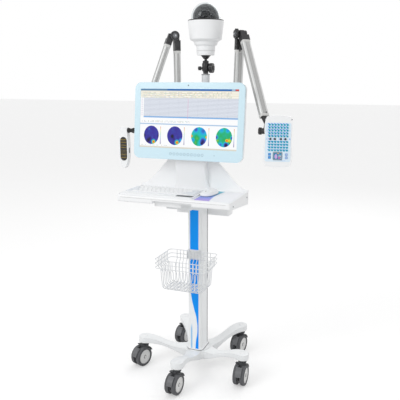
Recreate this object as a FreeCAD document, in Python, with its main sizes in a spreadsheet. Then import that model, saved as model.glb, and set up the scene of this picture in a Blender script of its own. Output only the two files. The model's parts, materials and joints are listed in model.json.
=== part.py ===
"""Video-EEG trolley: a five-castor cart with worktop, monitor, camera mast and two jointed arms.

The origin is on the floor under the column's axis, +Z up, -Y toward the user, +X to the user's right.
All sizes are millimetres and angles are degrees.
"""

import FreeCAD, Part
import math
import os

from FreeCAD import Placement, Rotation, Vector

os.makedirs("parts", exist_ok=True)
doc = FreeCAD.newDocument("EegTrolley")

X_AXIS = Vector(1, 0, 0)
Y_AXIS = Vector(0, 1, 0)
Z_AXIS = Vector(0, 0, 1)
ORIGIN = Vector(0, 0, 0)
SIDE_NAMES = {-1: "left", 1: "right"}

# ---------------------------------------------------------------- driving dimensions
DIMENSIONS = {
    "wheel_radius": 50,
    "wheel_width": 19,
    "wheel_offset": 18.5,
    "rim_radius": 38,
    "axle_radius": 5,
    "castor_trail": 28,
    "castor_circle": 277,
    "neck_radius": 20,
    "stem_radius": 6,
    "run_play": 0.05,
    "face_play": 0.35,
    "leg_tip_radius": 31,
    "leg_waist": 52,
    "hub_radius": 62,
    "hub_top": 105,
    "column_width": 74,
    "column_depth": 108,
    "column_corner": 18,
    "column_wall": 3,
    "deck_drop": 64,
    "decor_width": 43,
    "decor_gap": 45,
    "decor_rise": 4,
    "desk_width": 541,
    "desk_front": 323,
    "desk_back": 58,
    "deck_height": 941,
    "fascia_height": 30,
    "desk_wall": 4,
    "basket_width": 250,
    "basket_depth": 186,
    "basket_top": 627,
    "basket_height": 150,
    "wire_radius": 1.7,
    "splash_inset": 0.5,
    "pad_inset": 9.5,
    "keyboard_inset": 8.5,
    "splash_neck": 130,
    "monitor_width": 532,
    "monitor_height": 349,
    "screen_width": 476,
    "screen_height": 268,
    "monitor_tilt": 6.1,
    "mast_radius": 19.5,
    "mast_rise": 531,
    "mast_setback": 100,
    "dome_radius": 70,
    "upright_length": 471,
    "left_lean": 0.9,
    "right_lean": 1.9,
    "tube_width": 28,
    "tube_depth": 40,
    "stimulator_height": 203,
    "headbox_height": 222,
}

sheet = doc.addObject("Spreadsheet::Sheet", "Dim")
for line, (word, value) in enumerate(DIMENSIONS.items(), start=1):
    sheet.set(f"A{line}", word)
    sheet.set(f"B{line}", str(value))
    sheet.setAlias(f"B{line}", word)
doc.recompute()


def dim(word):
    """The value of one cell of the sheet."""
    return float(sheet.get(word))


# ---------------------------------------------------------------- building blocks
def bind(item, prop, value):
    """Sets a property to a number, or ties it to the sheet when the value is an expression."""
    if isinstance(value, str):
        item.setExpression(prop, value)
    else:
        setattr(item, prop, value)


def facing(direction):
    """The rotation that turns +Z to a direction."""
    return Rotation(Z_AXIS, Vector(direction))


def block(name, size, corner):
    """A box by its size along X, Y and Z and its lowest corner."""
    item = doc.addObject("Part::Box", name)
    for prop, value in zip(("Length", "Width", "Height"), size):
        bind(item, prop, value)
    item.Placement.Base = Vector(corner)
    return item


def rod(name, radius, height, base, direction=(0, 0, 1)):
    """A cylinder from the centre of its base along a direction."""
    item = doc.addObject("Part::Cylinder", name)
    bind(item, "Radius", radius)
    bind(item, "Height", height)
    item.Placement = Placement(Vector(base), facing(direction))
    return item


def cone(name, radius_start, radius_end, height, base, direction=(0, 0, 1)):
    """A cone from the centre of its base along a direction."""
    item = doc.addObject("Part::Cone", name)
    bind(item, "Radius1", radius_start)
    bind(item, "Radius2", radius_end)
    bind(item, "Height", height)
    item.Placement = Placement(Vector(base), facing(direction))
    return item


def ball(name, radius, centre):
    """A sphere by its centre."""
    item = doc.addObject("Part::Sphere", name)
    bind(item, "Radius", radius)
    item.Placement.Base = Vector(centre)
    return item


def fuse(name, *items):
    """The union of several objects."""
    item = doc.addObject("Part::MultiFuse", name)
    item.Shapes = list(items)
    return item


def cut(name, base, *tools):
    """A base less one or more tools."""
    item = doc.addObject("Part::Cut", name)
    item.Base = base
    item.Tool = tools[0] if len(tools) == 1 else fuse(f"{name}_tools", *tools)
    return item


def common(name, base, tool):
    """What two objects share."""
    item = doc.addObject("Part::Common", name)
    item.Base = base
    item.Tool = tool
    return item


def group(name, *items, at=None):
    """Several solids kept apart in one object, placed as one."""
    item = doc.addObject("Part::Compound", name)
    item.Links = list(items)
    item.Placement = at or Placement()
    return item


def rounded_outline(corners, radius):
    """Lines and arcs of a closed polygon whose corners are rounded, all by one radius or one each."""
    count = len(corners)
    radii = [radius] * count if isinstance(radius, (int, float)) else list(radius)
    points = [Vector(u, v, 0) for u, v in corners]
    ends = []
    arcs = []
    for index, point in enumerate(points):
        toward_last = (points[index - 1] - point).normalize()
        toward_next = (points[(index + 1) % count] - point).normalize()
        half = toward_last.getAngle(toward_next) / 2
        if radii[index] == 0:
            ends.append((point, point))
            arcs.append(None)
            continue
        reach = radii[index] / math.tan(half)
        middle_way = (toward_last + toward_next).normalize()
        centre = point + middle_way * (radii[index] / math.sin(half))
        start = point + toward_last * reach
        stop = point + toward_next * reach
        ends.append((start, stop))
        arcs.append(Part.Arc(start, centre - middle_way * radii[index], stop))
    edges = []
    for index in range(count):
        if arcs[index]:
            edges.append(arcs[index])
        start = ends[index][1]
        stop = ends[(index + 1) % count][0]
        if start.distanceToPoint(stop) > 1e-6:
            edges.append(Part.LineSegment(start, stop))
    return edges


def rectangle(width, height, centre=(0, 0)):
    """The four corners of a rectangle."""
    u, v = centre
    return [
        (u - width / 2, v - height / 2),
        (u + width / 2, v - height / 2),
        (u + width / 2, v + height / 2),
        (u - width / 2, v + height / 2),
    ]


def smooth(points):
    """One curve through several points."""
    curve = Part.BSplineCurve()
    curve.interpolate([Vector(u, v, 0) for u, v in points])
    return curve


def straight(start, stop):
    """One line between two points."""
    return Part.LineSegment(Vector(*start, 0), Vector(*stop, 0))


# How a sketch lies: its first axis, second axis and normal in the object's frame.
PLANES = {
    "XY": (Rotation(), Z_AXIS),
    "XZ": (Rotation(X_AXIS, 90), Y_AXIS),
    "YZ": (Rotation(Vector(1, 1, 1), 120), X_AXIS),
}


def sketch(name, plane, edges, offset=0):
    """A sketch of edges on a plane, moved along that plane's axis."""
    turn, axis = PLANES[plane]
    item = doc.addObject("Sketcher::SketchObject", name)
    item.Placement = Placement(axis * offset, turn)
    item.addGeometry(edges, False)
    return item


def prism(name, plane, edges, start, length):
    """A closed outline carried along the plane's axis."""
    item = doc.addObject("Part::Extrusion", name)
    item.Base = sketch(f"{name}_outline", plane, edges, start)
    item.DirMode = "Custom"
    item.Dir = PLANES[plane][1]
    bind(item, "LengthFwd", length)
    item.Solid = True
    return item


def turned(name, edges):
    """A solid of revolution about Z from edges given as radius and height."""
    item = doc.addObject("Part::Revolution", name)
    item.Source = sketch(f"{name}_outline", "XZ", edges)
    item.Axis = Z_AXIS
    item.Angle = 360
    item.Solid = True
    return item


def polar(angle, radius, centre=(0, 0)):
    """A point at an angle counted from the first axis."""
    swing = math.radians(angle)
    return (centre[0] + radius * math.cos(swing), centre[1] + radius * math.sin(swing))


def band(name, plane, centre, radii, angles, start, length):
    """A stretch of a ring between two radii and two angles, carried along the plane's axis."""
    low, high = angles
    middle = (low + high) / 2
    inner, outer = radii

    def arc(radius):
        spots = [polar(angle, radius, centre) for angle in (low, middle, high)]
        return Part.Arc(*[Vector(u, v, 0) for u, v in spots])

    edges = [
        arc(outer),
        straight(polar(high, outer, centre), polar(high, inner, centre)),
        arc(inner),
        straight(polar(low, inner, centre), polar(low, outer, centre)),
    ]
    return prism(name, plane, edges, start, length)


def tube_section(name, size, corner, base, length, wall=None):
    """A rounded rectangular bar along +Z, hollow when a wall is given."""
    outer = prism(f"{name}_outer", "XY", rounded_outline(rectangle(*size, base[:2]), corner), base[2], length)
    if wall is None:
        return outer
    inner_size = [side - 2 * wall for side in size]
    edges = rounded_outline(rectangle(*inner_size, base[:2]), corner - wall)
    return cut(f"{name}_hollow", outer, prism(f"{name}_inner", "XY", edges, base[2], length))


NODES = {}


def node(name, item):
    """Registers a finished sub-part under its name."""
    item.Label = name
    NODES[name] = item
    return item


# ---------------------------------------------------------------- castors
CASTOR_ANGLES = (0, 72, 144, 216, 288)
CASTOR_TURNS = (-5, 1, -10, -8, -18)
AXLE_AT = (0, -dim("castor_trail"), dim("wheel_radius"))
WEB_HALF = 7.5
SLOT_HALF = 3.3
PEDAL_ARM_HALF = 2.6
NECK_BOTTOM = 103
LEG_UNDERSIDE = 121
NECK_TOP = LEG_UNDERSIDE - 0.3
AXLE_HALF = 24.5
FENDER_RADII = (52.8, 56.5)
PEDAL_RADII = (52.4, 56)
PEDAL_HALF = 14.5


def castor_place(index):
    """Where a castor's swivel axis meets the floor, and how it is turned."""
    swing = math.radians(CASTOR_ANGLES[index])
    reach = dim("castor_circle")
    spot = Vector(reach * math.sin(swing), -reach * math.cos(swing), 0)
    return Placement(spot, Rotation(Z_AXIS, CASTOR_TURNS[index]))


def castor_housing():
    """Dark hood: a web between the wheels, a fender over them and the swivel neck, with its axle."""
    yz = AXLE_AT[1:]
    web = rod("castor_web", 41, 2 * WEB_HALF, (-WEB_HALF, *yz), (1, 0, 0))
    riser = block("castor_riser", (2 * WEB_HALF, 44, 48), (-WEB_HALF, -26, 62))
    rib = band("castor_rib", "YZ", yz, (38, FENDER_RADII[1]), (22, 88), -WEB_HALF, 2 * WEB_HALF)
    fender = band("castor_fender", "YZ", yz, FENDER_RADII, (22, 88), -28, 56)
    neck = rod("castor_neck", "Dim.neck_radius", NECK_TOP - NECK_BOTTOM, (0, 0, NECK_BOTTOM))
    body = fuse("castor_body", web, riser, rib, fender, neck)
    bore = rod("castor_swivel_bore", "Dim.stem_radius + Dim.run_play", 40, (0, 0, 92))
    axle_bore = rod("castor_axle_bore", "Dim.axle_radius", 80, (-40, *yz), (1, 0, 0))
    slot = band("castor_slot", "YZ", yz, (8, 62), (92, 200), -SLOT_HALF, 2 * SLOT_HALF)
    ring_room = rod("castor_ring_room", 13.2, 2 * SLOT_HALF, (-SLOT_HALF, *yz), (1, 0, 0))
    hood = cut("castor_hood", body, bore, axle_bore, slot, ring_room)
    axle = rod("castor_axle", "Dim.axle_radius", 2 * AXLE_HALF, (-AXLE_HALF, *yz), (1, 0, 0))
    return group("castor_housing_master", hood, axle)


def castor_wheels():
    """Twin wheels: each a tyre on a hub disc that covers the axle's end."""
    near = dim("wheel_offset") - dim("wheel_width") / 2
    far = near + dim("wheel_width")
    rim = dim("rim_radius")
    tread = dim("wheel_radius")
    bore = dim("axle_radius") + dim("run_play")
    tyre_corners = [(rim, near), (tread - 1, near), (tread, near + 4), (tread, far - 4)]
    tyre_corners += [(tread - 3, far), (rim, far)]
    hub_corners = [(bore, near + 1), (rim, near + 1), (rim, far - 1), (rim - 6, far - 3)]
    hub_corners += [(10, far - 2), (8, far)]
    hub_corners += [(0, far), (0, AXLE_HALF + 0.5), (bore, AXLE_HALF + 0.5)]
    solids = []
    for side, label in SIDE_NAMES.items():
        turn = facing((side, 0, 0))
        for piece, corners in (("tyre", tyre_corners), ("hub", hub_corners)):
            solid = turned(f"castor_{piece}_{label}", rounded_outline(corners, 0))
            solid.Placement = Placement(Vector(AXLE_AT), turn)
            solids.append(solid)
    return group("castor_wheels_master", *solids)


def castor_brake():
    """Brake pedal: a curved tread plate on an arm that turns about the axle."""
    yz = AXLE_AT[1:]
    ring = rod("brake_ring", 12.5, 2 * PEDAL_ARM_HALF, (-PEDAL_ARM_HALF, *yz), (1, 0, 0))
    arm = band("brake_arm", "YZ", yz, (9, 54), (136, 150), -PEDAL_ARM_HALF, 2 * PEDAL_ARM_HALF)
    plate = band("brake_plate", "YZ", yz, PEDAL_RADII, (117, 168), -PEDAL_HALF, 2 * PEDAL_HALF)
    lever = fuse("brake_lever", ring, arm, plate)
    bore = rod("brake_bore", "Dim.axle_radius + Dim.run_play", 20, (-10, *yz), (1, 0, 0))
    return group("castor_brake_master", cut("brake_pedal", lever, bore))


castor_masters = {"housing": castor_housing(), "wheels": castor_wheels(), "brake": castor_brake()}
for number in range(len(CASTOR_ANGLES)):
    for piece, master in castor_masters.items():
        name = f"castor_{number + 1}_{piece}"
        node(name, group(name, master, at=castor_place(number)))

stem_pins = []
for number in range(len(CASTOR_ANGLES)):
    spot = castor_place(number).Base
    stem_pins.append(rod(f"stem_pin_{number + 1}", "Dim.stem_radius", 44, (spot.x, spot.y, 96)))
node("castor_stems", group("castor_stems", *stem_pins))


# ---------------------------------------------------------------- base star
def base_star():
    """Five swept legs cut from one revolved S-profile, with a raised hub disc."""
    tip = dim("castor_circle")
    tip_radius = dim("leg_tip_radius")
    rim = tip + tip_radius + 4
    top = [(90, 100), (125, 103.5), (165, 117), (205, 134), (240, 145), (tip, 149), (rim, 148)]
    underside = [(rim, LEG_UNDERSIDE), (tip - 34, LEG_UNDERSIDE), (205, 114.5), (165, 101)]
    underside += [(120, 80), (80, 62)]
    edges = [
        straight((0, 62), (0, 100)),
        straight((0, 100), top[0]),
        smooth(top),
        straight(top[-1], underside[0]),
        straight(underside[0], underside[1]),
        smooth(underside[1:]),
        straight(underside[-1], (0, 62)),
    ]
    sweep = turned("base_sweep", edges)
    waist = dim("leg_waist") / 2
    side = [(46, 0), (36, 70), (waist + 2, 120), (waist, 180), (waist + 2.5, 230), (tip_radius, tip)]
    leg_edges = [
        smooth(side),
        Part.Arc(Vector(tip_radius, tip, 0), Vector(0, tip + tip_radius, 0), Vector(-tip_radius, tip, 0)),
        smooth([(-u, v) for u, v in reversed(side)]),
        straight((-46, 0), (46, 0)),
    ]
    leg = prism("leg_blank", "XY", leg_edges, 50, 110)
    blanks = [rod("hub_blank", 74, 110, (0, 0, 50))]
    for index, angle in enumerate(CASTOR_ANGLES):
        at = Placement(ORIGIN, Rotation(Z_AXIS, 180 + angle))
        blanks.append(group(f"leg_blank_{index + 1}", leg, at=at))
    star = common("star_body", sweep, fuse("star_outline", *blanks))
    disc = rod("hub_disc", "Dim.hub_radius", "Dim.hub_top - 99", (0, 0, 99))
    bores = []
    for index in range(len(CASTOR_ANGLES)):
        spot = castor_place(index).Base
        bores.append(rod(f"stem_bore_{index + 1}", "Dim.stem_radius", 40, (spot.x, spot.y, 100)))
    return cut("base_star", fuse("star_with_disc", star, disc), *bores)


node("base_star", base_star())


# ---------------------------------------------------------------- column
DECOR_BOTTOM = dim("hub_top") + dim("decor_rise")
COLUMN_LENGTH = "Dim.deck_height - Dim.deck_drop - Dim.hub_top"
DECOR_LENGTH = f"{COLUMN_LENGTH} - Dim.decor_gap - Dim.decor_rise"
DECOR_LET_IN = 1
DECOR_THICK = 1.8


def column_tube():
    """Hollow extrusion with a shallow recess for the decor panel."""
    size = (dim("column_width"), dim("column_depth"))
    base = (0, 0, dim("hub_top"))
    shell = tube_section("column", size, dim("column_corner"), base, COLUMN_LENGTH, dim("column_wall"))
    corner = (-dim("decor_width") / 2, -size[1] / 2 - 5, DECOR_BOTTOM)
    size = ("Dim.decor_width", 5 + DECOR_LET_IN, DECOR_LENGTH)
    recess = block("decor_recess", size, corner)
    return cut("column_tube", shell, recess)


def column_decor_panel():
    """Coloured strip let into the column's front."""
    corner = (-dim("decor_width") / 2, -dim("column_depth") / 2 + DECOR_LET_IN - DECOR_THICK, DECOR_BOTTOM)
    size = ("Dim.decor_width", DECOR_THICK, DECOR_LENGTH)
    return block("column_decor_panel", size, corner)


node("column_tube", column_tube())
node("column_decor_panel", column_decor_panel())


# ---------------------------------------------------------------- wire basket
LOOP_PITCH = 20
LOOP_CORNER = 16
BODY_INSET = 12
WIRE_PITCH = 17.5
BAND_HEIGHT = 40
BAND_THICK = 5
BASKET_BACK = -dim("column_depth") / 2 - BAND_THICK - 0.05 - dim("wire_radius")
BASKET_MIDDLE = BASKET_BACK - dim("basket_depth") / 2


def wire(name, plane, edges, offset):
    """A round wire swept along a path that starts upright."""
    spine = sketch(f"{name}_path", plane, edges, offset)
    doc.recompute()
    start = spine.Shape.Wires[0].OrderedVertexes[0].Point
    section = doc.addObject("Part::Circle", f"{name}_section")
    bind(section, "Radius", "Dim.wire_radius")
    first = spine.Shape.Wires[0].OrderedEdges[0]
    tangent = first.tangentAt(first.FirstParameter)
    section.Placement = Placement(start, facing(tangent))
    sweep = doc.addObject("Part::Sweep", name)
    sweep.Sections = [section]
    sweep.Spine = (spine, [])
    sweep.Solid = True
    sweep.Frenet = False
    sweep.Transition = "Round corner"
    return sweep


def hoop_path(half, top, depth):
    """An upright wire from the rim, in at the foot of the loops, down, under and up again."""
    inner = half - BODY_INSET
    shoulder = top - 2 * LOOP_PITCH - 6
    corners = [(-half, top), (-half, shoulder), (-inner, shoulder - 10), (-inner + 8, top - depth)]
    corners += [(inner - 8, top - depth), (inner, shoulder - 10), (half, shoulder), (half, top)]
    edges = rounded_outline(corners, [0, 5, 5, 18, 18, 5, 5, 0])
    return [edge for edge in edges if not is_lid(edge, top)]


def is_lid(edge, top):
    """Whether an edge is the straight line that closes an open path at its top."""
    if not isinstance(edge, Part.LineSegment):
        return False
    return abs(edge.StartPoint.y - top) < 1e-6 and abs(edge.EndPoint.y - top) < 1e-6


def wire_basket():
    """Basket of round wire, parted at its corners and foot into five flat grilles, with its plate."""
    top = dim("basket_top")
    height = dim("basket_height")
    radius = dim("wire_radius")
    width = dim("basket_width")
    depth = dim("basket_depth")
    wires = []
    for index in range(3):
        edges = rounded_outline(rectangle(width, depth, (0, BASKET_MIDDLE)), LOOP_CORNER)
        wires.append(wire(f"loop_{index + 1}", "XY", edges, top - index * LOOP_PITCH))
    half_depth = depth / 2 - 1.5 * radius
    half_width = width / 2 - 1.5 * radius
    long_count = int((width / 2 - BODY_INSET - 14) / WIRE_PITCH)
    for index in range(-long_count, long_count + 1):
        edges = hoop_path(half_depth, top, height)
        hoop = wire(f"long_wire_{index + long_count + 1}", "YZ", edges, index * WIRE_PITCH)
        hoop.Placement = Placement(Vector(0, BASKET_MIDDLE, 0), Rotation())
        wires.append(hoop)
    cross_count = int((depth / 2 - BODY_INSET - 14) / WIRE_PITCH)
    for index in range(-cross_count, cross_count + 1):
        edges = hoop_path(half_width, top, height + 1.5 * radius)
        offset = BASKET_MIDDLE + index * WIRE_PITCH
        wires.append(wire(f"cross_wire_{index + cross_count + 1}", "XZ", edges, offset))
    mesh = fuse("basket_mesh", *wires)
    span_x = width / 2 + 8
    span_y = depth / 2 + 8
    inward = 60
    floor_top = top - height + 22
    in_x = span_x - inward
    in_y = span_y - inward
    walls = {
        "front": [(-span_x, -span_y), (span_x, -span_y), (in_x, -in_y), (-in_x, -in_y)],
        "back": [(-span_x, span_y), (-in_x, in_y), (in_x, in_y), (span_x, span_y)],
        "left": [(-span_x, -span_y), (-in_x, -in_y), (-in_x, in_y), (-span_x, span_y)],
        "right": [(span_x, -span_y), (span_x, span_y), (in_x, in_y), (in_x, -in_y)],
    }
    grilles = []
    for side, corners in walls.items():
        shifted = [(u, v + BASKET_MIDDLE) for u, v in corners]
        region = prism(f"{side}_region", "XY", rounded_outline(shifted, 0), floor_top, height)
        grilles.append(common(f"{side}_grille", mesh, region))
    floor_corner = (-span_x, BASKET_MIDDLE - span_y, floor_top - 60)
    floor_region = block("floor_region", (2 * span_x, 2 * span_y, 60), floor_corner)
    grilles.append(common("floor_grille", mesh, floor_region))
    return grilles + [basket_plate(top)]


def basket_plate(top):
    """Plate round the column's front with two hooks that hold the top loop."""
    front = -dim("column_depth") / 2
    width = dim("column_width")
    plate_corner = (-width / 2, front - BAND_THICK, top - BAND_HEIGHT + 2)
    plate = block("plate_blank", (width, BAND_THICK, BAND_HEIGHT), plate_corner)
    proud = DECOR_THICK - DECOR_LET_IN
    corner = (-dim("decor_width") / 2, front - proud, top - BAND_HEIGHT - 5)
    relief = block("plate_relief", ("Dim.decor_width", proud + 1, BAND_HEIGHT + 20), corner)
    pieces = [plate]
    reach = 2 * dim("wire_radius") + 4
    hook_front = front - BAND_THICK - reach
    seat = top + dim("wire_radius") + 0.1
    for side in (-1, 1):
        edge = side * 1.5 * WIRE_PITCH - 4.5
        pieces.append(block(f"hook_top_{side + 2}", (9, reach + 1, 2.5), (edge, hook_front, seat - 0.5)))
        pieces.append(block(f"hook_lip_{side + 2}", (9, 2, 7), (edge, hook_front, seat - 5)))
    rise = block("plate_rise", (62, BAND_THICK, 8), (-31, front - BAND_THICK, top - 1))
    return cut("basket_plate", fuse("plate_body", *pieces, rise), relief)


node("wire_basket", group("wire_basket", *wire_basket()))


# ---------------------------------------------------------------- worktop
DESK_FRONT = -dim("desk_front")
DESK_BACK = -dim("desk_back")
DECK = dim("deck_height")
PLATE_BOTTOM = DECK - dim("deck_drop")
PLATE_TOP = PLATE_BOTTOM + 8
RECESS_HALF = 93
RECESS_DEPTH = 26
RECESS_HEIGHT = 14
APRON_WIDTH = 126
APRON_DROP = 14


def worktop_shell():
    """Open-bottomed tray moulding: deck, fascia with a finger recess and its apron, deepening side cheeks."""
    width = dim("desk_width")
    wall = dim("desk_wall")
    low = DECK - dim("fascia_height")
    profile = [(DESK_FRONT, low), (DESK_BACK, PLATE_TOP), (DESK_BACK, DECK), (DESK_FRONT, DECK)]
    side = rounded_outline(profile, [7, 2, 1, 6])
    body = prism("desk_side", "YZ", side, -width / 2, "Dim.desk_width")
    depth = dim("desk_front") - dim("desk_back")
    plan = rounded_outline(rectangle(width, depth, (0, (DESK_FRONT + DESK_BACK) / 2)), [13, 13, 3, 3])
    blank = common("desk_blank", body, prism("desk_plan", "XY", plan, PLATE_TOP - 50, 200))
    hollow_width = width - 2 * wall
    front = DESK_FRONT + wall
    hollow_corner = (-hollow_width / 2, front, DECK - wall - 200)
    hollow = block("desk_hollow", (hollow_width, depth - 2 * wall, 200), hollow_corner)
    guard_size = (2 * RECESS_HALF + 2 * wall, RECESS_DEPTH + wall, RECESS_HEIGHT + wall)
    guard_corner = (-RECESS_HALF - wall, DESK_FRONT + 1, low + 1)
    recess_size = (2 * RECESS_HALF, RECESS_DEPTH + 10, RECESS_HEIGHT + 10)
    recess = block("finger_recess", recess_size, (-RECESS_HALF, DESK_FRONT - 10, low - 10))
    guard = block("recess_guard", guard_size, guard_corner)
    apron_size = (APRON_WIDTH, wall, APRON_DROP + RECESS_HEIGHT)
    apron = block("recess_apron", apron_size, (-RECESS_HALF, DESK_FRONT + RECESS_DEPTH, low - APRON_DROP))
    shell = fuse("desk_shell", cut("desk_tray", blank, hollow), guard, apron)
    near = DESK_FRONT + 26
    far = DESK_BACK - 12
    panels = []
    for sign in (-1, 1):
        inset = [(near, low + 7), (far, PLATE_TOP + 12), (far, DECK - 9), (near, DECK - 9)]
        start = sign * width / 2 - 1
        panels.append(prism(f"cheek_panel_{sign + 2}", "YZ", rounded_outline(inset, 5), start, 2))
    return cut("worktop_shell", shell, recess, *panels)


def worktop_bracket():
    """Steel bracket that carries the tray and the spine on the column's top."""
    back = 130
    ribs_front = DESK_FRONT + 80
    under_deck = DECK - dim("desk_wall")
    inner_back = DESK_BACK - dim("desk_wall") - 1
    thick = PLATE_TOP - PLATE_BOTTOM
    base = block("bracket_base", (120, back - ribs_front, thick), (-60, ribs_front, PLATE_BOTTOM))
    top = block("bracket_top", (240, inner_back - ribs_front, 5), (-120, ribs_front, under_deck - 5))
    pieces = [base, top]
    rib = (6, inner_back - ribs_front, under_deck - PLATE_TOP - 2)
    web = (114, thick, under_deck - PLATE_TOP - 2)
    pieces.append(block("bracket_web", web, (-57, ribs_front, PLATE_TOP - 1)))
    for sign in (-1, 1):
        pieces.append(block(f"bracket_rib_{sign + 2}", rib, (sign * 57 - 3, ribs_front, PLATE_TOP - 1)))
    return fuse("worktop_bracket", *pieces)


def rear_power_housing():
    """Rounded housing behind the column for the isolating transformer, with its mains inlet."""
    column_back = dim("column_depth") / 2
    depth = 96
    height = 88
    plan = rounded_outline(rectangle(276, depth, (0, column_back + depth / 2)), [6, 6, 38, 38])
    bottom = PLATE_BOTTOM - height
    outer = prism("power_outer", "XY", plan, bottom, height)
    inner_plan = rounded_outline(rectangle(268, depth - 8, (0, column_back + depth / 2)), [4, 4, 34, 34])
    inner = prism("power_inner", "XY", inner_plan, bottom + 4, height - 8)
    opening = block("inlet_opening", (48, 20, 28), (-24, column_back + depth - 10, bottom + 26))
    shell = cut("power_shell", outer, inner, opening)
    inlet = block("inlet_body", (48, 12, 28), (-24, column_back + depth - 11, bottom + 26))
    socket = block("inlet_socket", (24, 10, 16), (-12, column_back + depth - 7, bottom + 32))
    return group("rear_power_housing", shell, cut("mains_inlet", inlet, socket))


node("worktop_shell", worktop_shell())
node("worktop_bracket", worktop_bracket())
node("rear_power_housing", rear_power_housing())

# ---------------------------------------------------------------- keyboard and mouse
KEYBOARD_SIZE = (350, 188, 7)
KEYBOARD_CORNER = (dim("keyboard_inset") - dim("desk_width") / 2, -306, DECK)
PAD_SIZE = (162, 222, 1.5)
PAD_CORNER = (dim("desk_width") / 2 - dim("pad_inset") - PAD_SIZE[0], -318, DECK)
MOUSE_AT = (PAD_CORNER[0] + 24.5, -176, DECK + PAD_SIZE[2] + 0.05)
KEY_PITCH = 21.5
KEY_ROWS = 6


def slab(name, size, corner, radius):
    """A flat piece with rounded corners."""
    centre = (corner[0] + size[0] / 2, corner[1] + size[1] / 2)
    return prism(name, "XY", rounded_outline(rectangle(*size[:2], centre), radius), corner[2], size[2])


def keyboard():
    """Keyboard case and one key bar for each row."""
    case = slab("keyboard_case", KEYBOARD_SIZE, KEYBOARD_CORNER, 8)
    rows = []
    for row in range(KEY_ROWS):
        front = KEYBOARD_CORNER[1] + 46 + row * KEY_PITCH
        corner = (KEYBOARD_CORNER[0] + 10, front, DECK + KEYBOARD_SIZE[2])
        rows.append(slab(f"key_row_{row + 1}", (KEYBOARD_SIZE[0] - 20, KEY_PITCH - 4, 2), corner, 3))
    return group("keyboard", case, *rows)


def mouse():
    """Low domed mouse shell, flat underneath."""
    dome = doc.addObject("Part::Ellipsoid", "mouse_dome")
    dome.Radius1 = 35
    dome.Radius2 = 32
    dome.Radius3 = 54
    dome.Angle1 = -90
    dome.Angle2 = 90
    dome.Angle3 = 360
    plan = prism("mouse_plan", "XY", rounded_outline(rectangle(62, 106), 30), 0, 60)
    at = Placement(Vector(MOUSE_AT), Rotation(Z_AXIS, -8))
    return group("mouse", common("mouse_shell", dome, plan), at=at)


node("keyboard", keyboard())
node("mouse_pad", slab("mouse_pad", PAD_SIZE, PAD_CORNER, 6))
node("mouse", mouse())

# ---------------------------------------------------------------- backsplash and neck
SPLASH_THICK = 14
SPLASH_FRONT = DESK_BACK - SPLASH_THICK
SPLASH_TOP = DECK + 221


def backsplash():
    """Upright panel with two concave wings that meet the deck at its rear corners."""
    foot = dim("desk_width") / 2 - dim("splash_inset")
    neck = dim("splash_neck")
    sweep = [(foot - 8, DECK + 13), (foot - 30, DECK + 19), (foot - 60, DECK + 42), (foot - 92, DECK + 76)]
    sweep += [(foot - 118, DECK + 106), (neck, DECK + 130), (neck - 12, DECK + 165), (neck - 18, SPLASH_TOP)]
    shoulder = [(foot, DECK + 5), (foot - 2, DECK + 10), (foot - 8, DECK + 13)]
    right_arc = Part.Arc(*[Vector(u, v, 0) for u, v in shoulder])
    right = [straight((foot, DECK), shoulder[0]), right_arc, smooth(sweep)]
    left_arc = Part.Arc(*[Vector(-u, v, 0) for u, v in shoulder])
    left_sweep = smooth([(-u, v) for u, v in reversed(sweep)])
    left = [left_sweep, left_arc, straight((-foot, DECK + 5), (-foot, DECK))]
    crest = straight(sweep[-1], (-sweep[-1][0], sweep[-1][1]))
    edges = right + [crest] + left + [straight((-foot, DECK), (foot, DECK))]
    return prism("backsplash", "XZ", edges, SPLASH_FRONT, SPLASH_THICK)


def neck_cover():
    """Cover that flares at its foot and leans forward to the monitor."""
    stations = [(0, 98, 9), (9, 89, 10.5), (26, 81, 15), (71, 76, 27), (140, 73, 43), (190, 70, 30)]
    sections = []
    for index, (rise, half, reach) in enumerate(stations):
        corners = rectangle(2 * half, reach, (0, SPLASH_FRONT - reach / 2))
        edges = rounded_outline(corners, [6, 6, 0.5, 0.5])
        sections.append(sketch(f"neck_section_{index + 1}", "XY", edges, DECK + rise))
    item = doc.addObject("Part::Loft", "neck_cover")
    item.Sections = sections
    item.Solid = True
    item.Ruled = False
    return item


node("backsplash", backsplash())
node("neck_cover", neck_cover())

# ---------------------------------------------------------------- monitor
MONITOR_AT = Vector(0, -116.3, DECK + 317.95)
MONITOR_PLACE = Placement(MONITOR_AT, Rotation(X_AXIS, -dim("monitor_tilt")))
SCREEN_RISE = 11
GLASS_FRONT = -20
BEZEL_BACK = -8
LUG_REACH = 50
LUG_NEAR = 24.5
LUG_FAR = 36.5
TILT_AXIS_AT = MONITOR_PLACE.multVec(Vector(0, LUG_REACH, 0))
SPINE_FRONT = dim("column_depth") / 2 + 2
SPINE_BACK = SPINE_FRONT + 22
SPINE_TOP = DECK + 345


def panel(name, size, radius, span, centre=(0, 0)):
    """A rounded rectangular plate standing in the XZ plane between two depths."""
    near, far = span
    return prism(name, "XZ", rounded_outline(rectangle(*size, centre), radius), near, far - near)


def monitor_bezel():
    """Front frame round the screen, with a pocket that holds the panel."""
    outer = panel("bezel_outer", (dim("monitor_width"), dim("monitor_height")), 30, (GLASS_FRONT, BEZEL_BACK))
    screen = (dim("screen_width"), dim("screen_height"))
    window = panel("bezel_window", screen, 1.5, (GLASS_FRONT - 5, 0), (0, SCREEN_RISE))
    pocket_size = (screen[0] + 6, screen[1] + 6)
    pocket = panel("bezel_pocket", pocket_size, 2, (GLASS_FRONT + 3, BEZEL_BACK + 5), (0, SCREEN_RISE))
    return group("monitor_bezel", cut("bezel_frame", outer, window, pocket), at=MONITOR_PLACE)


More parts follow.
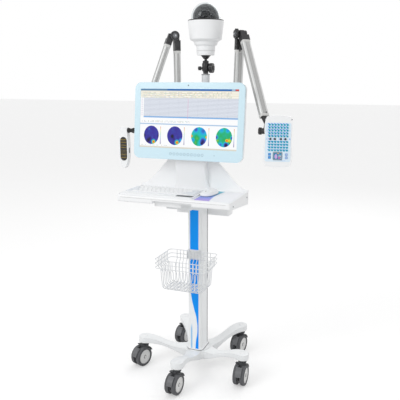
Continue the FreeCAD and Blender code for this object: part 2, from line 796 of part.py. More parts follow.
def lcd_panel():
    """Screen panel in the bezel's pocket."""
    size = (dim("screen_width") + 6, dim("screen_height") + 6)
    plate = panel("lcd_plate", size, 2, (GLASS_FRONT + 3, BEZEL_BACK), (0, SCREEN_RISE))
    return group("lcd_panel", plate, at=MONITOR_PLACE)


def monitor_rear_housing():
    """Rear shell with a raised back, two tilt lugs and their pin."""
    width = dim("monitor_width")
    height = dim("monitor_height")
    tray = panel("rear_tray", (width, height), 30, (BEZEL_BACK, 7))
    step = panel("rear_step", (width - 34, height - 34), 26, (7, 14))
    bump = panel("rear_bump", (330, 220), 22, (14, 24))
    pieces = [tray, step, bump]
    for sign in (-1, 1):
        start = LUG_NEAR if sign > 0 else -LUG_FAR
        web_size = (LUG_FAR - LUG_NEAR, LUG_REACH - 20, 22)
        pieces.append(block(f"lug_web_{sign + 2}", web_size, (start, 20, -11)))
        pieces.append(rod(f"lug_eye_{sign + 2}", 11, LUG_FAR - LUG_NEAR, (start, LUG_REACH, 0), (1, 0, 0)))
    room = panel("rear_room", (width - 8, height - 8), 26, (BEZEL_BACK - 1, 3))
    eye_bore = rod("lug_bore", 5, 100, (-50, LUG_REACH, 0), (1, 0, 0))
    shell = cut("rear_shell", fuse("rear_body", *pieces), room, eye_bore)
    pin = rod("tilt_pin", 5, 2 * LUG_FAR + 6, (-LUG_FAR - 3, LUG_REACH, 0), (1, 0, 0))
    return group("monitor_rear_housing", shell, pin, at=MONITOR_PLACE)


def monitor_tilt_bracket():
    """Arm from the spine to the barrel on which the monitor tilts."""
    axis = TILT_AXIS_AT
    barrel = rod("tilt_barrel", 11, 48, (-24, axis.y, axis.z), (1, 0, 0))
    arm = block("tilt_arm", (36, SPINE_FRONT - axis.y, 18), (-18, axis.y, axis.z - 9))
    plate = block("tilt_plate", (64, 5, 70), (-32, SPINE_FRONT - 5, axis.z - 35))
    bore = rod("tilt_bore", "5 + Dim.run_play", 60, (-30, axis.y, axis.z), (1, 0, 0))
    return cut("monitor_tilt_bracket", fuse("tilt_body", barrel, arm, plate), bore)


node("monitor_bezel", monitor_bezel())
node("lcd_panel", lcd_panel())
node("monitor_rear_housing", monitor_rear_housing())
node("monitor_tilt_bracket", monitor_tilt_bracket())

# ---------------------------------------------------------------- spine, crossbar and mast
MAST_Y = dim("mast_setback")
SOCKET_X = 150
SOCKET_Y = 115
SOCKET_Z = DECK + 241
SOCKET_TOP = 22
SPIGOT_RADIUS = 12
MAST_FOOT = SOCKET_Z - 24
MAST_TOP = DECK + dim("mast_rise")


def upright_place(side):
    """Frame of an upright: origin in its socket, +Z along its leaned axis."""
    lean = Rotation(Y_AXIS, side * dim(f"{SIDE_NAMES[side]}_lean"))
    return Placement(Vector(side * SOCKET_X, SOCKET_Y, SOCKET_Z), lean)


def rear_crossbar():
    """Spine on the worktop bracket and a crossbar with a mast clamp and two arm sockets."""
    spine_size = (70, SPINE_BACK - SPINE_FRONT, SPINE_TOP - PLATE_TOP)
    spine = block("spine", spine_size, (-35, SPINE_FRONT, PLATE_TOP))
    clamp = block("mast_clamp", (84, 60, 60), (-42, SPINE_BACK - 2, MAST_FOOT))
    bar = block("cross_beam", (2 * SOCKET_X, 24, 34), (-SOCKET_X, SOCKET_Y - 16, SOCKET_Z - 17))
    pieces = [spine, clamp, bar]
    bores = [rod("mast_bore", "Dim.mast_radius", 90, (0, MAST_Y, MAST_FOOT - 10))]
    for side in (-1, 1):
        place = upright_place(side)
        barrel = rod(f"socket_barrel_{side + 2}", 22, 28 + SOCKET_TOP, (0, 0, -28))
        pieces.append(group(f"socket_{side + 2}", barrel, at=place))
        bore = rod(f"socket_bore_{side + 2}", f"{SPIGOT_RADIUS} + Dim.run_play", 80, (0, 0, -22))
        bores.append(group(f"socket_room_{side + 2}", bore, at=place))
    return cut("rear_crossbar", fuse("crossbar_body", *pieces), *bores)


def mast_tube():
    """Round mast, capped at the top with a bore for the ball head's spigot."""
    top = MAST_TOP
    wall = 2.5
    length = f"Dim.deck_height + Dim.mast_rise - {MAST_FOOT}"
    blank = rod("mast_blank", "Dim.mast_radius", length, (0, MAST_Y, MAST_FOOT))
    room = rod("mast_room", f"Dim.mast_radius - {wall}", top - 28 - MAST_FOOT + 5, (0, MAST_Y, MAST_FOOT - 5))
    bore = rod("mast_spigot_bore", "8 + Dim.run_play", 40, (0, MAST_Y, top - 24))
    return cut("mast_tube", blank, room, bore)


node("rear_crossbar", rear_crossbar())
node("mast_tube", mast_tube())

# ---------------------------------------------------------------- ball head and camera
HEAD_BOTTOM = MAST_TOP + dim("face_play")
HEAD_TOP = MAST_TOP + 62
BALL_RADIUS = 14
BALL_Z = HEAD_TOP - 10
KNOB_Z = HEAD_TOP - 34
HEAD_RADIUS = 18
FOOT_BOTTOM = HEAD_TOP + 8
CUP_BOTTOM = FOOT_BOTTOM + 17
CUP_RIM = CUP_BOTTOM + 157
CUP_FLOOR = CUP_RIM - 72
DOME_SEAT = CUP_RIM + 2.5
DOME_CENTRE = CUP_RIM + 16
RING_TOP = CUP_RIM + 5
EYE_Z = DOME_CENTRE + 2


def ball_head_body():
    """Body that pans on the mast, with the ball's seat, a small pan knob and the lock screw's bore."""
    spigot = rod("head_spigot", 8, 22, (0, MAST_Y, HEAD_BOTTOM - 20))
    barrel = rod("head_barrel", HEAD_RADIUS, HEAD_TOP - HEAD_BOTTOM, (0, MAST_Y, HEAD_BOTTOM))
    pan_knob = rod("pan_knob", 9.5, 20, (-17, MAST_Y, KNOB_Z - 1), (-1, 0, 0))
    body = fuse("head_body", spigot, barrel, pan_knob)
    seat = ball("head_seat", f"{BALL_RADIUS} + Dim.run_play", (0, MAST_Y, BALL_Z))
    mouth = cone("head_mouth", 10, 15.5, HEAD_TOP - BALL_Z, (0, MAST_Y, BALL_Z + 1))
    screw_bore = rod("lock_bore", "4 + Dim.run_play", 30, (6, MAST_Y, KNOB_Z), (1, 0, 0))
    return cut("ball_head_body", body, seat, mouth, screw_bore)


def ball_stem():
    """Ball with its stem and the conical foot under the camera."""
    sphere = ball("stem_ball", BALL_RADIUS, (0, MAST_Y, BALL_Z))
    neck = rod("stem_neck", 6.5, 22, (0, MAST_Y, BALL_Z + 8))
    foot = cone("stem_foot", 10, 24, CUP_BOTTOM - FOOT_BOTTOM, (0, MAST_Y, FOOT_BOTTOM))
    return fuse("ball_stem", sphere, neck, foot)


def ball_lock_knob():
    """Fluted knob on the screw that locks the ball."""
    screw = rod("lock_screw", 4, 20, (8, MAST_Y, KNOB_Z), (1, 0, 0))
    grip = rod("lock_grip", 23, 17, (HEAD_RADIUS + 3, MAST_Y, KNOB_Z), (1, 0, 0))
    flutes = []
    for index in range(10):
        y, z = polar(index * 36, 25, (MAST_Y, KNOB_Z))
        flutes.append(rod(f"lock_flute_{index + 1}", 4, 30, (HEAD_RADIUS, y, z), (1, 0, 0)))
    return fuse("ball_lock_knob", screw, cut("lock_head", grip, *flutes))


def on_mast(name, edges):
    """A turned piece carried to the mast's axis."""
    return group(name, turned(f"{name}_profile", edges), at=Placement(Vector(0, MAST_Y, 0), Rotation()))


def camera_housing():
    """Bell-shaped cup: narrow neck, a step, a flare and a tapered wall, open at the top."""
    outer = [(0, CUP_BOTTOM), (42, CUP_BOTTOM), (45.5, CUP_BOTTOM + 44), (53, CUP_BOTTOM + 47)]
    outer += [(58, CUP_BOTTOM + 63), (76, CUP_BOTTOM + 73), (86, CUP_RIM)]
    bore = 6 + dim("run_play")
    inner = [(82.5, CUP_RIM), (72.5, CUP_FLOOR), (bore, CUP_FLOOR), (bore, CUP_FLOOR - 20)]
    corners = outer + inner + [(0, CUP_FLOOR - 20)]
    radii = [0, 2.5, 2, 2, 5, 4, 1, 0, 2, 0, 0, 0]
    return on_mast("camera_housing", rounded_outline(corners, radii))


def camera_ring():
    """Seat ring that closes the cup's rim and holds the dome."""
    seat = 66
    corners = [(seat, CUP_RIM), (84.5, CUP_RIM), (84.5, RING_TOP - 1), (82, RING_TOP)]
    corners += [(dim("dome_radius"), RING_TOP), (dim("dome_radius"), DOME_SEAT), (seat, DOME_SEAT)]
    return on_mast("camera_ring", rounded_outline(corners, 0))


def camera_dome():
    """Clear dome: a short skirt under a half sphere."""
    outer = dim("dome_radius")
    inner = outer - 2.5
    lift = math.sqrt(0.5)

    def quarter(radius):
        diagonal = (radius * lift, DOME_CENTRE + radius * lift)
        top = Vector(0, DOME_CENTRE + radius, 0)
        return Part.Arc(Vector(radius, DOME_CENTRE, 0), Vector(*diagonal, 0), top)

    edges = [
        straight((inner, DOME_SEAT), (outer, DOME_SEAT)),
        straight((outer, DOME_SEAT), (outer, DOME_CENTRE)),
        quarter(outer),
        straight((0, DOME_CENTRE + outer), (0, DOME_CENTRE + inner)),
        quarter(inner),
        straight((inner, DOME_CENTRE), (inner, DOME_SEAT)),
    ]
    return on_mast("camera_dome", edges)


def camera_yoke():
    """Fork that pans on a spigot in the cup's floor and carries the eye."""
    floor = CUP_FLOOR + dim("face_play")
    spigot = rod("yoke_spigot", 6, 18, (0, MAST_Y, floor - 15))
    base = rod("yoke_base", 30, 8, (0, MAST_Y, floor))
    post = rod("yoke_post", 18, 46, (0, MAST_Y, floor))
    bridge = block("yoke_bridge", (72, 26, 6), (-36, MAST_Y - 13, floor + 44))
    pieces = [spigot, base, post, bridge]
    for sign in (-1, 1):
        low = floor + 46
        corner = (29.5 if sign > 0 else -36, MAST_Y - 11, low)
        pieces.append(block(f"yoke_cheek_{sign + 2}", (6.5, 22, EYE_Z - low), corner))
        start = 29.5 if sign > 0 else -36
        pieces.append(rod(f"yoke_eye_{sign + 2}", 11, 6.5, (start, MAST_Y, EYE_Z), (1, 0, 0)))
    bore = rod("yoke_bore", "4 + Dim.run_play", 80, (-40, MAST_Y, EYE_Z), (1, 0, 0))
    return cut("camera_yoke", fuse("yoke_body", *pieces), bore)


def camera_eye():
    """Ball-shaped camera block with its lens barrel and two trunnions."""
    block_ball = ball("eye_ball", 28, (0, MAST_Y, EYE_Z))
    trunnion = rod("eye_trunnion", 4, 71, (-35.5, MAST_Y, EYE_Z), (1, 0, 0))
    barrel = rod("eye_barrel", 17, 34, (0, MAST_Y, EYE_Z), (0, -1, 0.35))
    return fuse("camera_eye", block_ball, trunnion, barrel)


node("ball_head_body", ball_head_body())
node("ball_stem", ball_stem())
node("ball_lock_knob", ball_lock_knob())
node("camera_housing", camera_housing())
node("camera_ring", camera_ring())
node("camera_dome", camera_dome())
node("camera_yoke", camera_yoke())
node("camera_eye", camera_eye())

# ---------------------------------------------------------------- arms
LEFT = -1
RIGHT = 1
HINGE_OFFSET = dim("tube_width") / 2 + 1
UPPER_DROP = 70
LOWER_DROP = 50
LAP_DROP = 21
KNUCKLE_RADIUS = 18
LAP_GAP = 0.2
PIN_RADIUS = 5
COLLAR_BOTTOM = SOCKET_TOP + dim("face_play")
COLLAR_TOP = COLLAR_BOTTOM + 16
ARM_SETUP = {
    LEFT: {"name": "left", "heading": -141.7, "spread": 21.1, "forearm": 430, "knob_side": 1},
    RIGHT: {"name": "right", "heading": -46.5, "spread": 34.0, "forearm": 445, "knob_side": -1},
}


def swing_place(side):
    """The upright's frame turned so that +X is the way its forearm reaches out."""
    return upright_place(side).multiply(Placement(ORIGIN, Rotation(Z_AXIS, ARM_SETUP[side]["heading"])))


def forearm_place(side):
    """Frame of a forearm: origin on the elbow's axis, -Z along the tube."""
    spread = Rotation(Y_AXIS, -ARM_SETUP[side]["spread"])
    elbow = Placement(Vector(HINGE_OFFSET, 0, dim("upright_length")), spread)
    return swing_place(side).multiply(elbow)


def lapped_knuckle(name, offset, lap_side, drop):
    """Knuckle beside a hinge at the origin: a full-depth socket over the tube's end and a half-depth eye."""
    width = dim("tube_width")
    depth = dim("tube_depth")
    half = depth / 2
    near = LAP_GAP if lap_side > 0 else -half
    eye = rod(f"{name}_eye", KNUCKLE_RADIUS, half - LAP_GAP, (0, near, 0), (0, 1, 0))
    web_size = (width, half - LAP_GAP, LAP_DROP + 2)
    web = block(f"{name}_web", web_size, (offset - width / 2, near, -LAP_DROP - 1))
    foot = block(f"{name}_foot", (width, depth, drop - LAP_DROP), (offset - width / 2, -half, -drop))
    return fuse(name, eye, web, foot)


def upright_pieces(side):
    """Upright tube, its swivel collar and its elbow knuckle with the elbow's pin."""
    name = ARM_SETUP[side]["name"]
    knob_side = ARM_SETUP[side]["knob_side"]
    length = dim("upright_length")
    size = (dim("tube_width"), dim("tube_depth"))
    place = swing_place(side)
    tube_length = length - UPPER_DROP - COLLAR_TOP
    tube = tube_section(f"{name}_upright", size, 7, (0, 0, COLLAR_TOP), tube_length, 2.5)
    node(f"{name}_upright_tube", group(f"{name}_upright_tube", tube, at=place))
    spigot = rod(f"{name}_spigot", SPIGOT_RADIUS, 22 + COLLAR_BOTTOM, (0, 0, -20))
    collar = rod(f"{name}_collar", 20, COLLAR_TOP - COLLAR_BOTTOM, (0, 0, COLLAR_BOTTOM))
    swivel = fuse(f"{name}_swivel", spigot, collar)
    knuckle = lapped_knuckle(f"{name}_upper_knuckle", -HINGE_OFFSET, -knob_side, UPPER_DROP)
    reach = dim("tube_depth") / 2
    start = -reach * knob_side
    pin = rod(f"{name}_elbow_pin", PIN_RADIUS, 2 * reach + 11, (0, start, 0), (0, knob_side, 0))
    head_at = (0, (reach + 11) * knob_side, 0)
    head = rod(f"{name}_pin_head", 7.5, 3.5, head_at, (0, knob_side, 0))
    hinge = Placement(Vector(HINGE_OFFSET, 0, length), Rotation())
    elbow = group(f"{name}_elbow", fuse(f"{name}_pinned_knuckle", knuckle, pin, head), at=hinge)
    node(f"{name}_upright_knuckles", group(f"{name}_upright_knuckles", swivel, elbow, at=place))


def elbow_knob(side):
    """Locking disc that turns on the elbow's pin; the right one carries a lever."""
    name = ARM_SETUP[side]["name"]
    knob_side = ARM_SETUP[side]["knob_side"]
    start = (dim("tube_depth") / 2 + dim("face_play")) * knob_side
    disc = rod(f"{name}_knob_disc", 17, 10.2, (0, start, 0), (0, knob_side, 0))
    pieces = [disc]
    if side == RIGHT:
        middle = start + 5 * knob_side
        lever = rod("knob_lever", 3.6, 46, (0, middle, 0), (0.1, 0, -1))
        pieces += [lever, ball("knob_lever_tip", 4.8, (4.6, middle, -46))]
    body = fuse(f"{name}_knob_body", *pieces) if len(pieces) > 1 else disc
    bore = rod(f"{name}_knob_bore", f"{PIN_RADIUS} + Dim.run_play", 100, (0, -50, 0), (0, 1, 0))
    hinge = Placement(Vector(HINGE_OFFSET, 0, dim("upright_length")), Rotation())
    knob = group(f"{name}_knob", cut(f"{name}_knob_ring", body, bore), at=hinge)
    return group(f"{name}_elbow_knob", knob, at=swing_place(side))


def strut(name, radius, start, stop):
    """A round bar between two points."""
    span = Vector(stop) - Vector(start)
    return rod(name, radius, span.Length, start, span)


WRIST_AT = {LEFT: Vector(-349, -20, SOCKET_Z + 18), RIGHT: Vector(345, -82, SOCKET_Z + 43)}
WRIST_PIN = 4
WRIST_HALF = 13
BOOT_LENGTH = 32


def wrist_fitting(side):
    """Fitting from the forearm's end to the wrist: a tapered boot, a bar and the inner half of the hinge."""
    name = ARM_SETUP[side]["name"]
    place = forearm_place(side)
    length = ARM_SETUP[side]["forearm"]
    boot_top = place.multVec(Vector(HINGE_OFFSET, 0, -length))
    boot_end = place.multVec(Vector(HINGE_OFFSET, 0, -length - BOOT_LENGTH))
    axis = WRIST_AT[side]
    boot = cone(f"{name}_boot", 13.5, 7, BOOT_LENGTH, boot_top, boot_end - boot_top)
    if side == LEFT:
        inner = cone("left_wrist_cone", 13, 8, 16, (axis.x + 16, axis.y, axis.z), (-1, 0, 0))
        bar_end = Vector(axis.x + 14, axis.y, axis.z)
        pin = rod("left_wrist_pin", WRIST_PIN, 20, (axis.x + 10, axis.y, axis.z), (-1, 0, 0))
    else:
        inner = rod("right_wrist_disc", 13, 2 * WRIST_HALF, (axis.x - WRIST_HALF, axis.y, axis.z), (1, 0, 0))
        bar_end = Vector(axis.x, axis.y, axis.z)
        pin = rod("right_wrist_pin", WRIST_PIN, WRIST_HALF + 10, (axis.x, axis.y, axis.z), (1, 0, 0))
    bar = strut(f"{name}_wrist_bar", 7, boot_end, bar_end)
    return fuse(f"{name}_wrist_fitting", boot, ball(f"{name}_wrist_bend", 7, boot_end), bar, inner, pin)


def forearm_pieces(side):
    """Forearm tube, its elbow knuckle and its wrist fitting."""
    name = ARM_SETUP[side]["name"]
    knob_side = ARM_SETUP[side]["knob_side"]
    length = ARM_SETUP[side]["forearm"]
    size = (dim("tube_width"), dim("tube_depth"))
    place = forearm_place(side)
    base = (HINGE_OFFSET, 0, -length)
    tube = tube_section(f"{name}_forearm", size, 7, base, length - LOWER_DROP, 2.5)
    node(f"{name}_forearm_tube", group(f"{name}_forearm_tube", tube, at=place))
    knuckle = lapped_knuckle(f"{name}_lower_knuckle", HINGE_OFFSET, knob_side, LOWER_DROP)
    bore = rod(f"{name}_knuckle_bore", f"{PIN_RADIUS} + Dim.run_play", 100, (0, -50, 0), (0, 1, 0))
    eye = group(f"{name}_forearm_eye", cut(f"{name}_bored_knuckle", knuckle, bore), at=place)
    cap = tube_section(f"{name}_end_cap", (size[0] - 5, size[1] - 5), 4.5, (HINGE_OFFSET, 0, -length), 12)
    plug = group(f"{name}_end_plug", cap, at=place)
    fitting = fuse(f"{name}_fitting_body", wrist_fitting(side), plug)
    node(f"{name}_forearm_knuckles", group(f"{name}_forearm_knuckles", eye, fitting))


for arm in (LEFT, RIGHT):
    upright_pieces(arm)
    node(f"{ARM_SETUP[arm]['name']}_elbow_knob", elbow_knob(arm))
    forearm_pieces(arm)

# ---------------------------------------------------------------- photic stimulator
STIMULATOR_AT = WRIST_AT[LEFT] + Vector(-36.4, 0, -87)
STIMULATOR_DEPTH = 28
STIMULATOR_WINDOW = (37, 118)


def stimulator_outline():
    """Flat narrow top, full flanks and a rounded point at the bottom."""
    half = dim("stimulator_height") / 2
    flank = [(20, half - 5), (23, half * 0.5), (25, half * 0.08), (23.5, -half * 0.4)]
    flank += [(16.5, -half * 0.78), (8, -half + 5)]
    shoulder = [(-16, half), (-18.9, half - 1.6), (-20, half - 5)]
    top = [straight((16, half), (-16, half)), Part.Arc(*[Vector(*p, 0) for p in shoulder])]
    left = smooth([(-u, v) for u, v in flank])
    tip = Part.Arc(*[Vector(*p, 0) for p in ((-8, -half + 5), (0, -half), (8, -half + 5))])
    right = smooth(list(reversed(flank)))
    corner = Part.Arc(*[Vector(*p, 0) for p in ((20, half - 5), (18.9, half - 1.6), (16, half))])
    return top + [left, tip, right, corner]


def stimulator_shell():
    """Hand-sized lamp body with a recess for the window."""
    half = STIMULATOR_DEPTH / 2
    body = prism("stimulator_body", "XZ", stimulator_outline(), -half, STIMULATOR_DEPTH)
    recess = panel("stimulator_recess", STIMULATOR_WINDOW, 18.4, (-half - 2, -half + 2), (0, -4))
    at = Placement(STIMULATOR_AT, Rotation())
    return group("stimulator_shell", cut("stimulator_case", body, recess), at=at)


def stimulator_window():
    """Capsule-shaped window over the lamp array."""
    half = STIMULATOR_DEPTH / 2
    plate = panel("stimulator_plate", STIMULATOR_WINDOW, 18.4, (-half - 0.6, -half + 2), (0, -4))
    return group("stimulator_window", plate, at=Placement(STIMULATOR_AT, Rotation()))


def left_wrist_mount():
    """Outer half of the wrist, fixed to the lamp's side."""
    axis = WRIST_AT[LEFT]
    near = axis.x - dim("face_play")
    flank = STIMULATOR_AT.x + 20.5
    outer = cone("mount_cone", 8, 13, near - flank, (near, axis.y, axis.z), (-1, 0, 0))
    bore = rod("mount_bore", f"{WRIST_PIN} + Dim.run_play", 11.2, (near + 1, axis.y, axis.z), (-1, 0, 0))
    lamp = prism("mount_trim_lamp", "XZ", stimulator_outline(), -STIMULATOR_DEPTH / 2, STIMULATOR_DEPTH)
    trim = group("mount_trim", lamp, at=Placement(STIMULATOR_AT, Rotation()))
    return cut("left_wrist_mount", outer, bore, trim)


# ---------------------------------------------------------------- headbox
HEADBOX_PLACE = Placement(WRIST_AT[RIGHT] + Vector(72, -42, -37.6), Rotation(Z_AXIS, 11))
HEADBOX_DEPTH = 32
HEADBOX_FACE = -HEADBOX_DEPTH / 2
FACE_PLATE = (108, 166)
FACE_DROP = -3
JACK_COLUMNS = 7
JACK_ROWS = 10
JACK_PITCH_X = 12.6
JACK_PITCH_Z = 12.1
JACK_TOP = 72
JACK_SHIFT = 1.5
GROUND_ROW = 5
GROUND_SPOTS = (-31.9, -13, 12.7, 31.5)
DISPLAY_SIZE = (41, 36)
DISPLAY_DROP = -61.8
PLATE_PROUD = 1


def headbox_shell():
    """Waisted case with a shallow recess for its face plate."""
    half = dim("headbox_height") / 2
    flank = [(50, half - 6), (57, half * 0.72), (59, half * 0.5), (56.5, half * 0.2), (57, -half * 0.05)]
    flank += [(61, -half * 0.36), (62, -half * 0.62), (57, -half * 0.88), (52, -half + 5)]
    crown = Part.Arc(*[Vector(*p, 0) for p in ((50, half - 6), (0, half), (-50, half - 6))])
    foot = Part.Arc(*[Vector(*p, 0) for p in ((-52, -half + 5), (0, -half), (52, -half + 5))])
    edges = [smooth(list(reversed(flank))), crown, smooth([(-u, v) for u, v in flank]), foot]
    body = prism("headbox_body", "XZ", edges, HEADBOX_FACE, HEADBOX_DEPTH)
    recess = panel("headbox_recess", FACE_PLATE, 7, (HEADBOX_FACE - 2, HEADBOX_FACE + 1), (0, FACE_DROP))
    return group("headbox_shell", cut("headbox_case", body, recess), at=HEADBOX_PLACE)


def headbox_panel():
    """Face plate with round holes for the jacks and a window for the display."""
    span = (HEADBOX_FACE - PLATE_PROUD, HEADBOX_FACE + 1)
    plate = panel("face_blank", FACE_PLATE, 7, span, (0, FACE_DROP))
    return group("headbox_panel", plate, at=HEADBOX_PLACE)


def headbox_jacks():
    """Rows of touch-proof sockets, with a row of four ground sockets between the two blocks."""
    front = HEADBOX_FACE - PLATE_PROUD
    ring = rod("jack_ring", 4.3, 2.4, (0, front, 0), (0, -1, 0))
    well = rod("jack_well", 1.7, 2, (0, front - 0.8, 0), (0, -1, 0))
    jack = cut("jack", ring, well)
    copies = []
    for row in range(JACK_ROWS):
        columns = range(JACK_COLUMNS)
        spots = [JACK_SHIFT + (column - (JACK_COLUMNS - 1) / 2) * JACK_PITCH_X for column in columns]
        if row == GROUND_ROW:
            spots = GROUND_SPOTS
        for column, spot in enumerate(spots):
            at = Placement(Vector(spot, 0, JACK_TOP - row * JACK_PITCH_Z), Rotation())
            copies.append(group(f"jack_{row + 1}_{column + 1}", jack, at=at))
    return group("headbox_jacks", *copies, at=HEADBOX_PLACE)


def headbox_display():
    """Small colour display in a rounded frame."""
    span = (HEADBOX_FACE - PLATE_PROUD - 1.2, HEADBOX_FACE - PLATE_PROUD)
    plate = panel("display_plate", DISPLAY_SIZE, 5, span, (0, DISPLAY_DROP))
    return group("headbox_display", plate, at=HEADBOX_PLACE)


def right_wrist_mount():
    """Lug on the wrist's pin and the plate behind the headbox."""
    axis = WRIST_AT[RIGHT]
    near = axis.x + WRIST_HALF + dim("face_play")
    lug = rod("mount_lug", 12, 13, (near, axis.y, axis.z), (1, 0, 0))
    bore = rod("mount_lug_bore", f"{WRIST_PIN} + Dim.run_play", 11.8, (near - 1, axis.y, axis.z), (1, 0, 0))
    back = HEADBOX_DEPTH / 2
    plate = block("mount_plate", (66, 5, 60), (-40, back, 10))
    plate_at = group("mount_plate_placed", plate, at=HEADBOX_PLACE)
    corner = HEADBOX_PLACE.multVec(Vector(-30, back + 2.5, 36))
    arm = strut("mount_arm", 7, (near + 9, axis.y, axis.z), corner)
    body = fuse("mount_body", lug, arm, plate_at)
    case = block("mount_trim_case", (160, HEADBOX_DEPTH, 240), (-80, -back, -120))
    return cut("right_wrist_mount", body, bore, group("mount_trim_box", case, at=HEADBOX_PLACE))


node("stimulator_shell", stimulator_shell())
node("stimulator_window", stimulator_window())
node("left_wrist_mount", left_wrist_mount())
node("headbox_shell", headbox_shell())
node("headbox_panel", headbox_panel())
node("headbox_jacks", headbox_jacks())
node("headbox_display", headbox_display())
node("right_wrist_mount", right_wrist_mount())


# ---------------------------------------------------------------- checks and export
doc.recompute()
failed = [item.Name for item in doc.Objects if {"Invalid", "Error"} & set(item.State)]
if failed:
    raise RuntimeError(f"objects that failed: {failed}")
for name, item in NODES.items():
    if item.Shape.isNull() or not item.Shape.isValid():
        raise RuntimeError(f"{name} has no valid shape")
for name, item in NODES.items():
    item.Shape.exportStep(f"parts/{name}.step")
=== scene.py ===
"""Dresses the video recording trolley with its finishes and its fine pieces."""

import json
import logging
import math
from dataclasses import dataclass
from enum import Enum
from typing import Protocol, Sequence

import bpy
from mathutils import Matrix, Vector


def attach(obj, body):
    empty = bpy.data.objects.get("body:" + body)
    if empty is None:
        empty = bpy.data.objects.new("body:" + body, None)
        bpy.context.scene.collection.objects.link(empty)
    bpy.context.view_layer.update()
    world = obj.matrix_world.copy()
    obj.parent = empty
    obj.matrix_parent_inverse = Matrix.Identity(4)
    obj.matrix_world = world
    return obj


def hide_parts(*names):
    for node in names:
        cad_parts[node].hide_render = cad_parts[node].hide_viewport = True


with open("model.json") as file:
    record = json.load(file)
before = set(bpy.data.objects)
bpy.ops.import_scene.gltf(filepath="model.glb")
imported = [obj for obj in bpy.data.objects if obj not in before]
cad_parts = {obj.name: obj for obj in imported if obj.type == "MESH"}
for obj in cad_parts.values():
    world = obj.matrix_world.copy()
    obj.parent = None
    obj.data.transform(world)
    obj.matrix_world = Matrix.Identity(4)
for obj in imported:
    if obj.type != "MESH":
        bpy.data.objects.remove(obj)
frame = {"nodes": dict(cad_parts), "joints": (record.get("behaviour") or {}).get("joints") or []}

LOG = logging.getLogger("trolley")
NODES = frame["nodes"]
JOINTS = {joint["name"]: joint for joint in frame["joints"]}
MM = 0.001
UNLIT = (0.02, 0.02, 0.02, 1.0)
Colour = tuple[float, float, float, float]
Point = Sequence[float]


class Axis(Enum):
    """The three axes that round pieces and turns are made about."""

    X = "X"
    Y = "Y"
    Z = "Z"


def tint(code: str) -> Colour:
    """Turns a hex colour into the linear values that a shader takes.

    Args:
        code: Colour as "#rrggbb".

    Returns:
        Linear red, green, blue and an alpha of one.
    """
    parts = [int(code[start:start + 2], 16) / 255 for start in (1, 3, 5)]
    linear = [part / 12.92 if part <= 0.04045 else ((part + 0.055) / 1.055) ** 2.4 for part in parts]
    return (*linear, 1.0)


def shade(colour: Colour, factor: float) -> Colour:
    """Gives a colour made lighter or darker by a factor."""
    return (*[min(1.0, part * factor) for part in colour[:3]], 1.0)


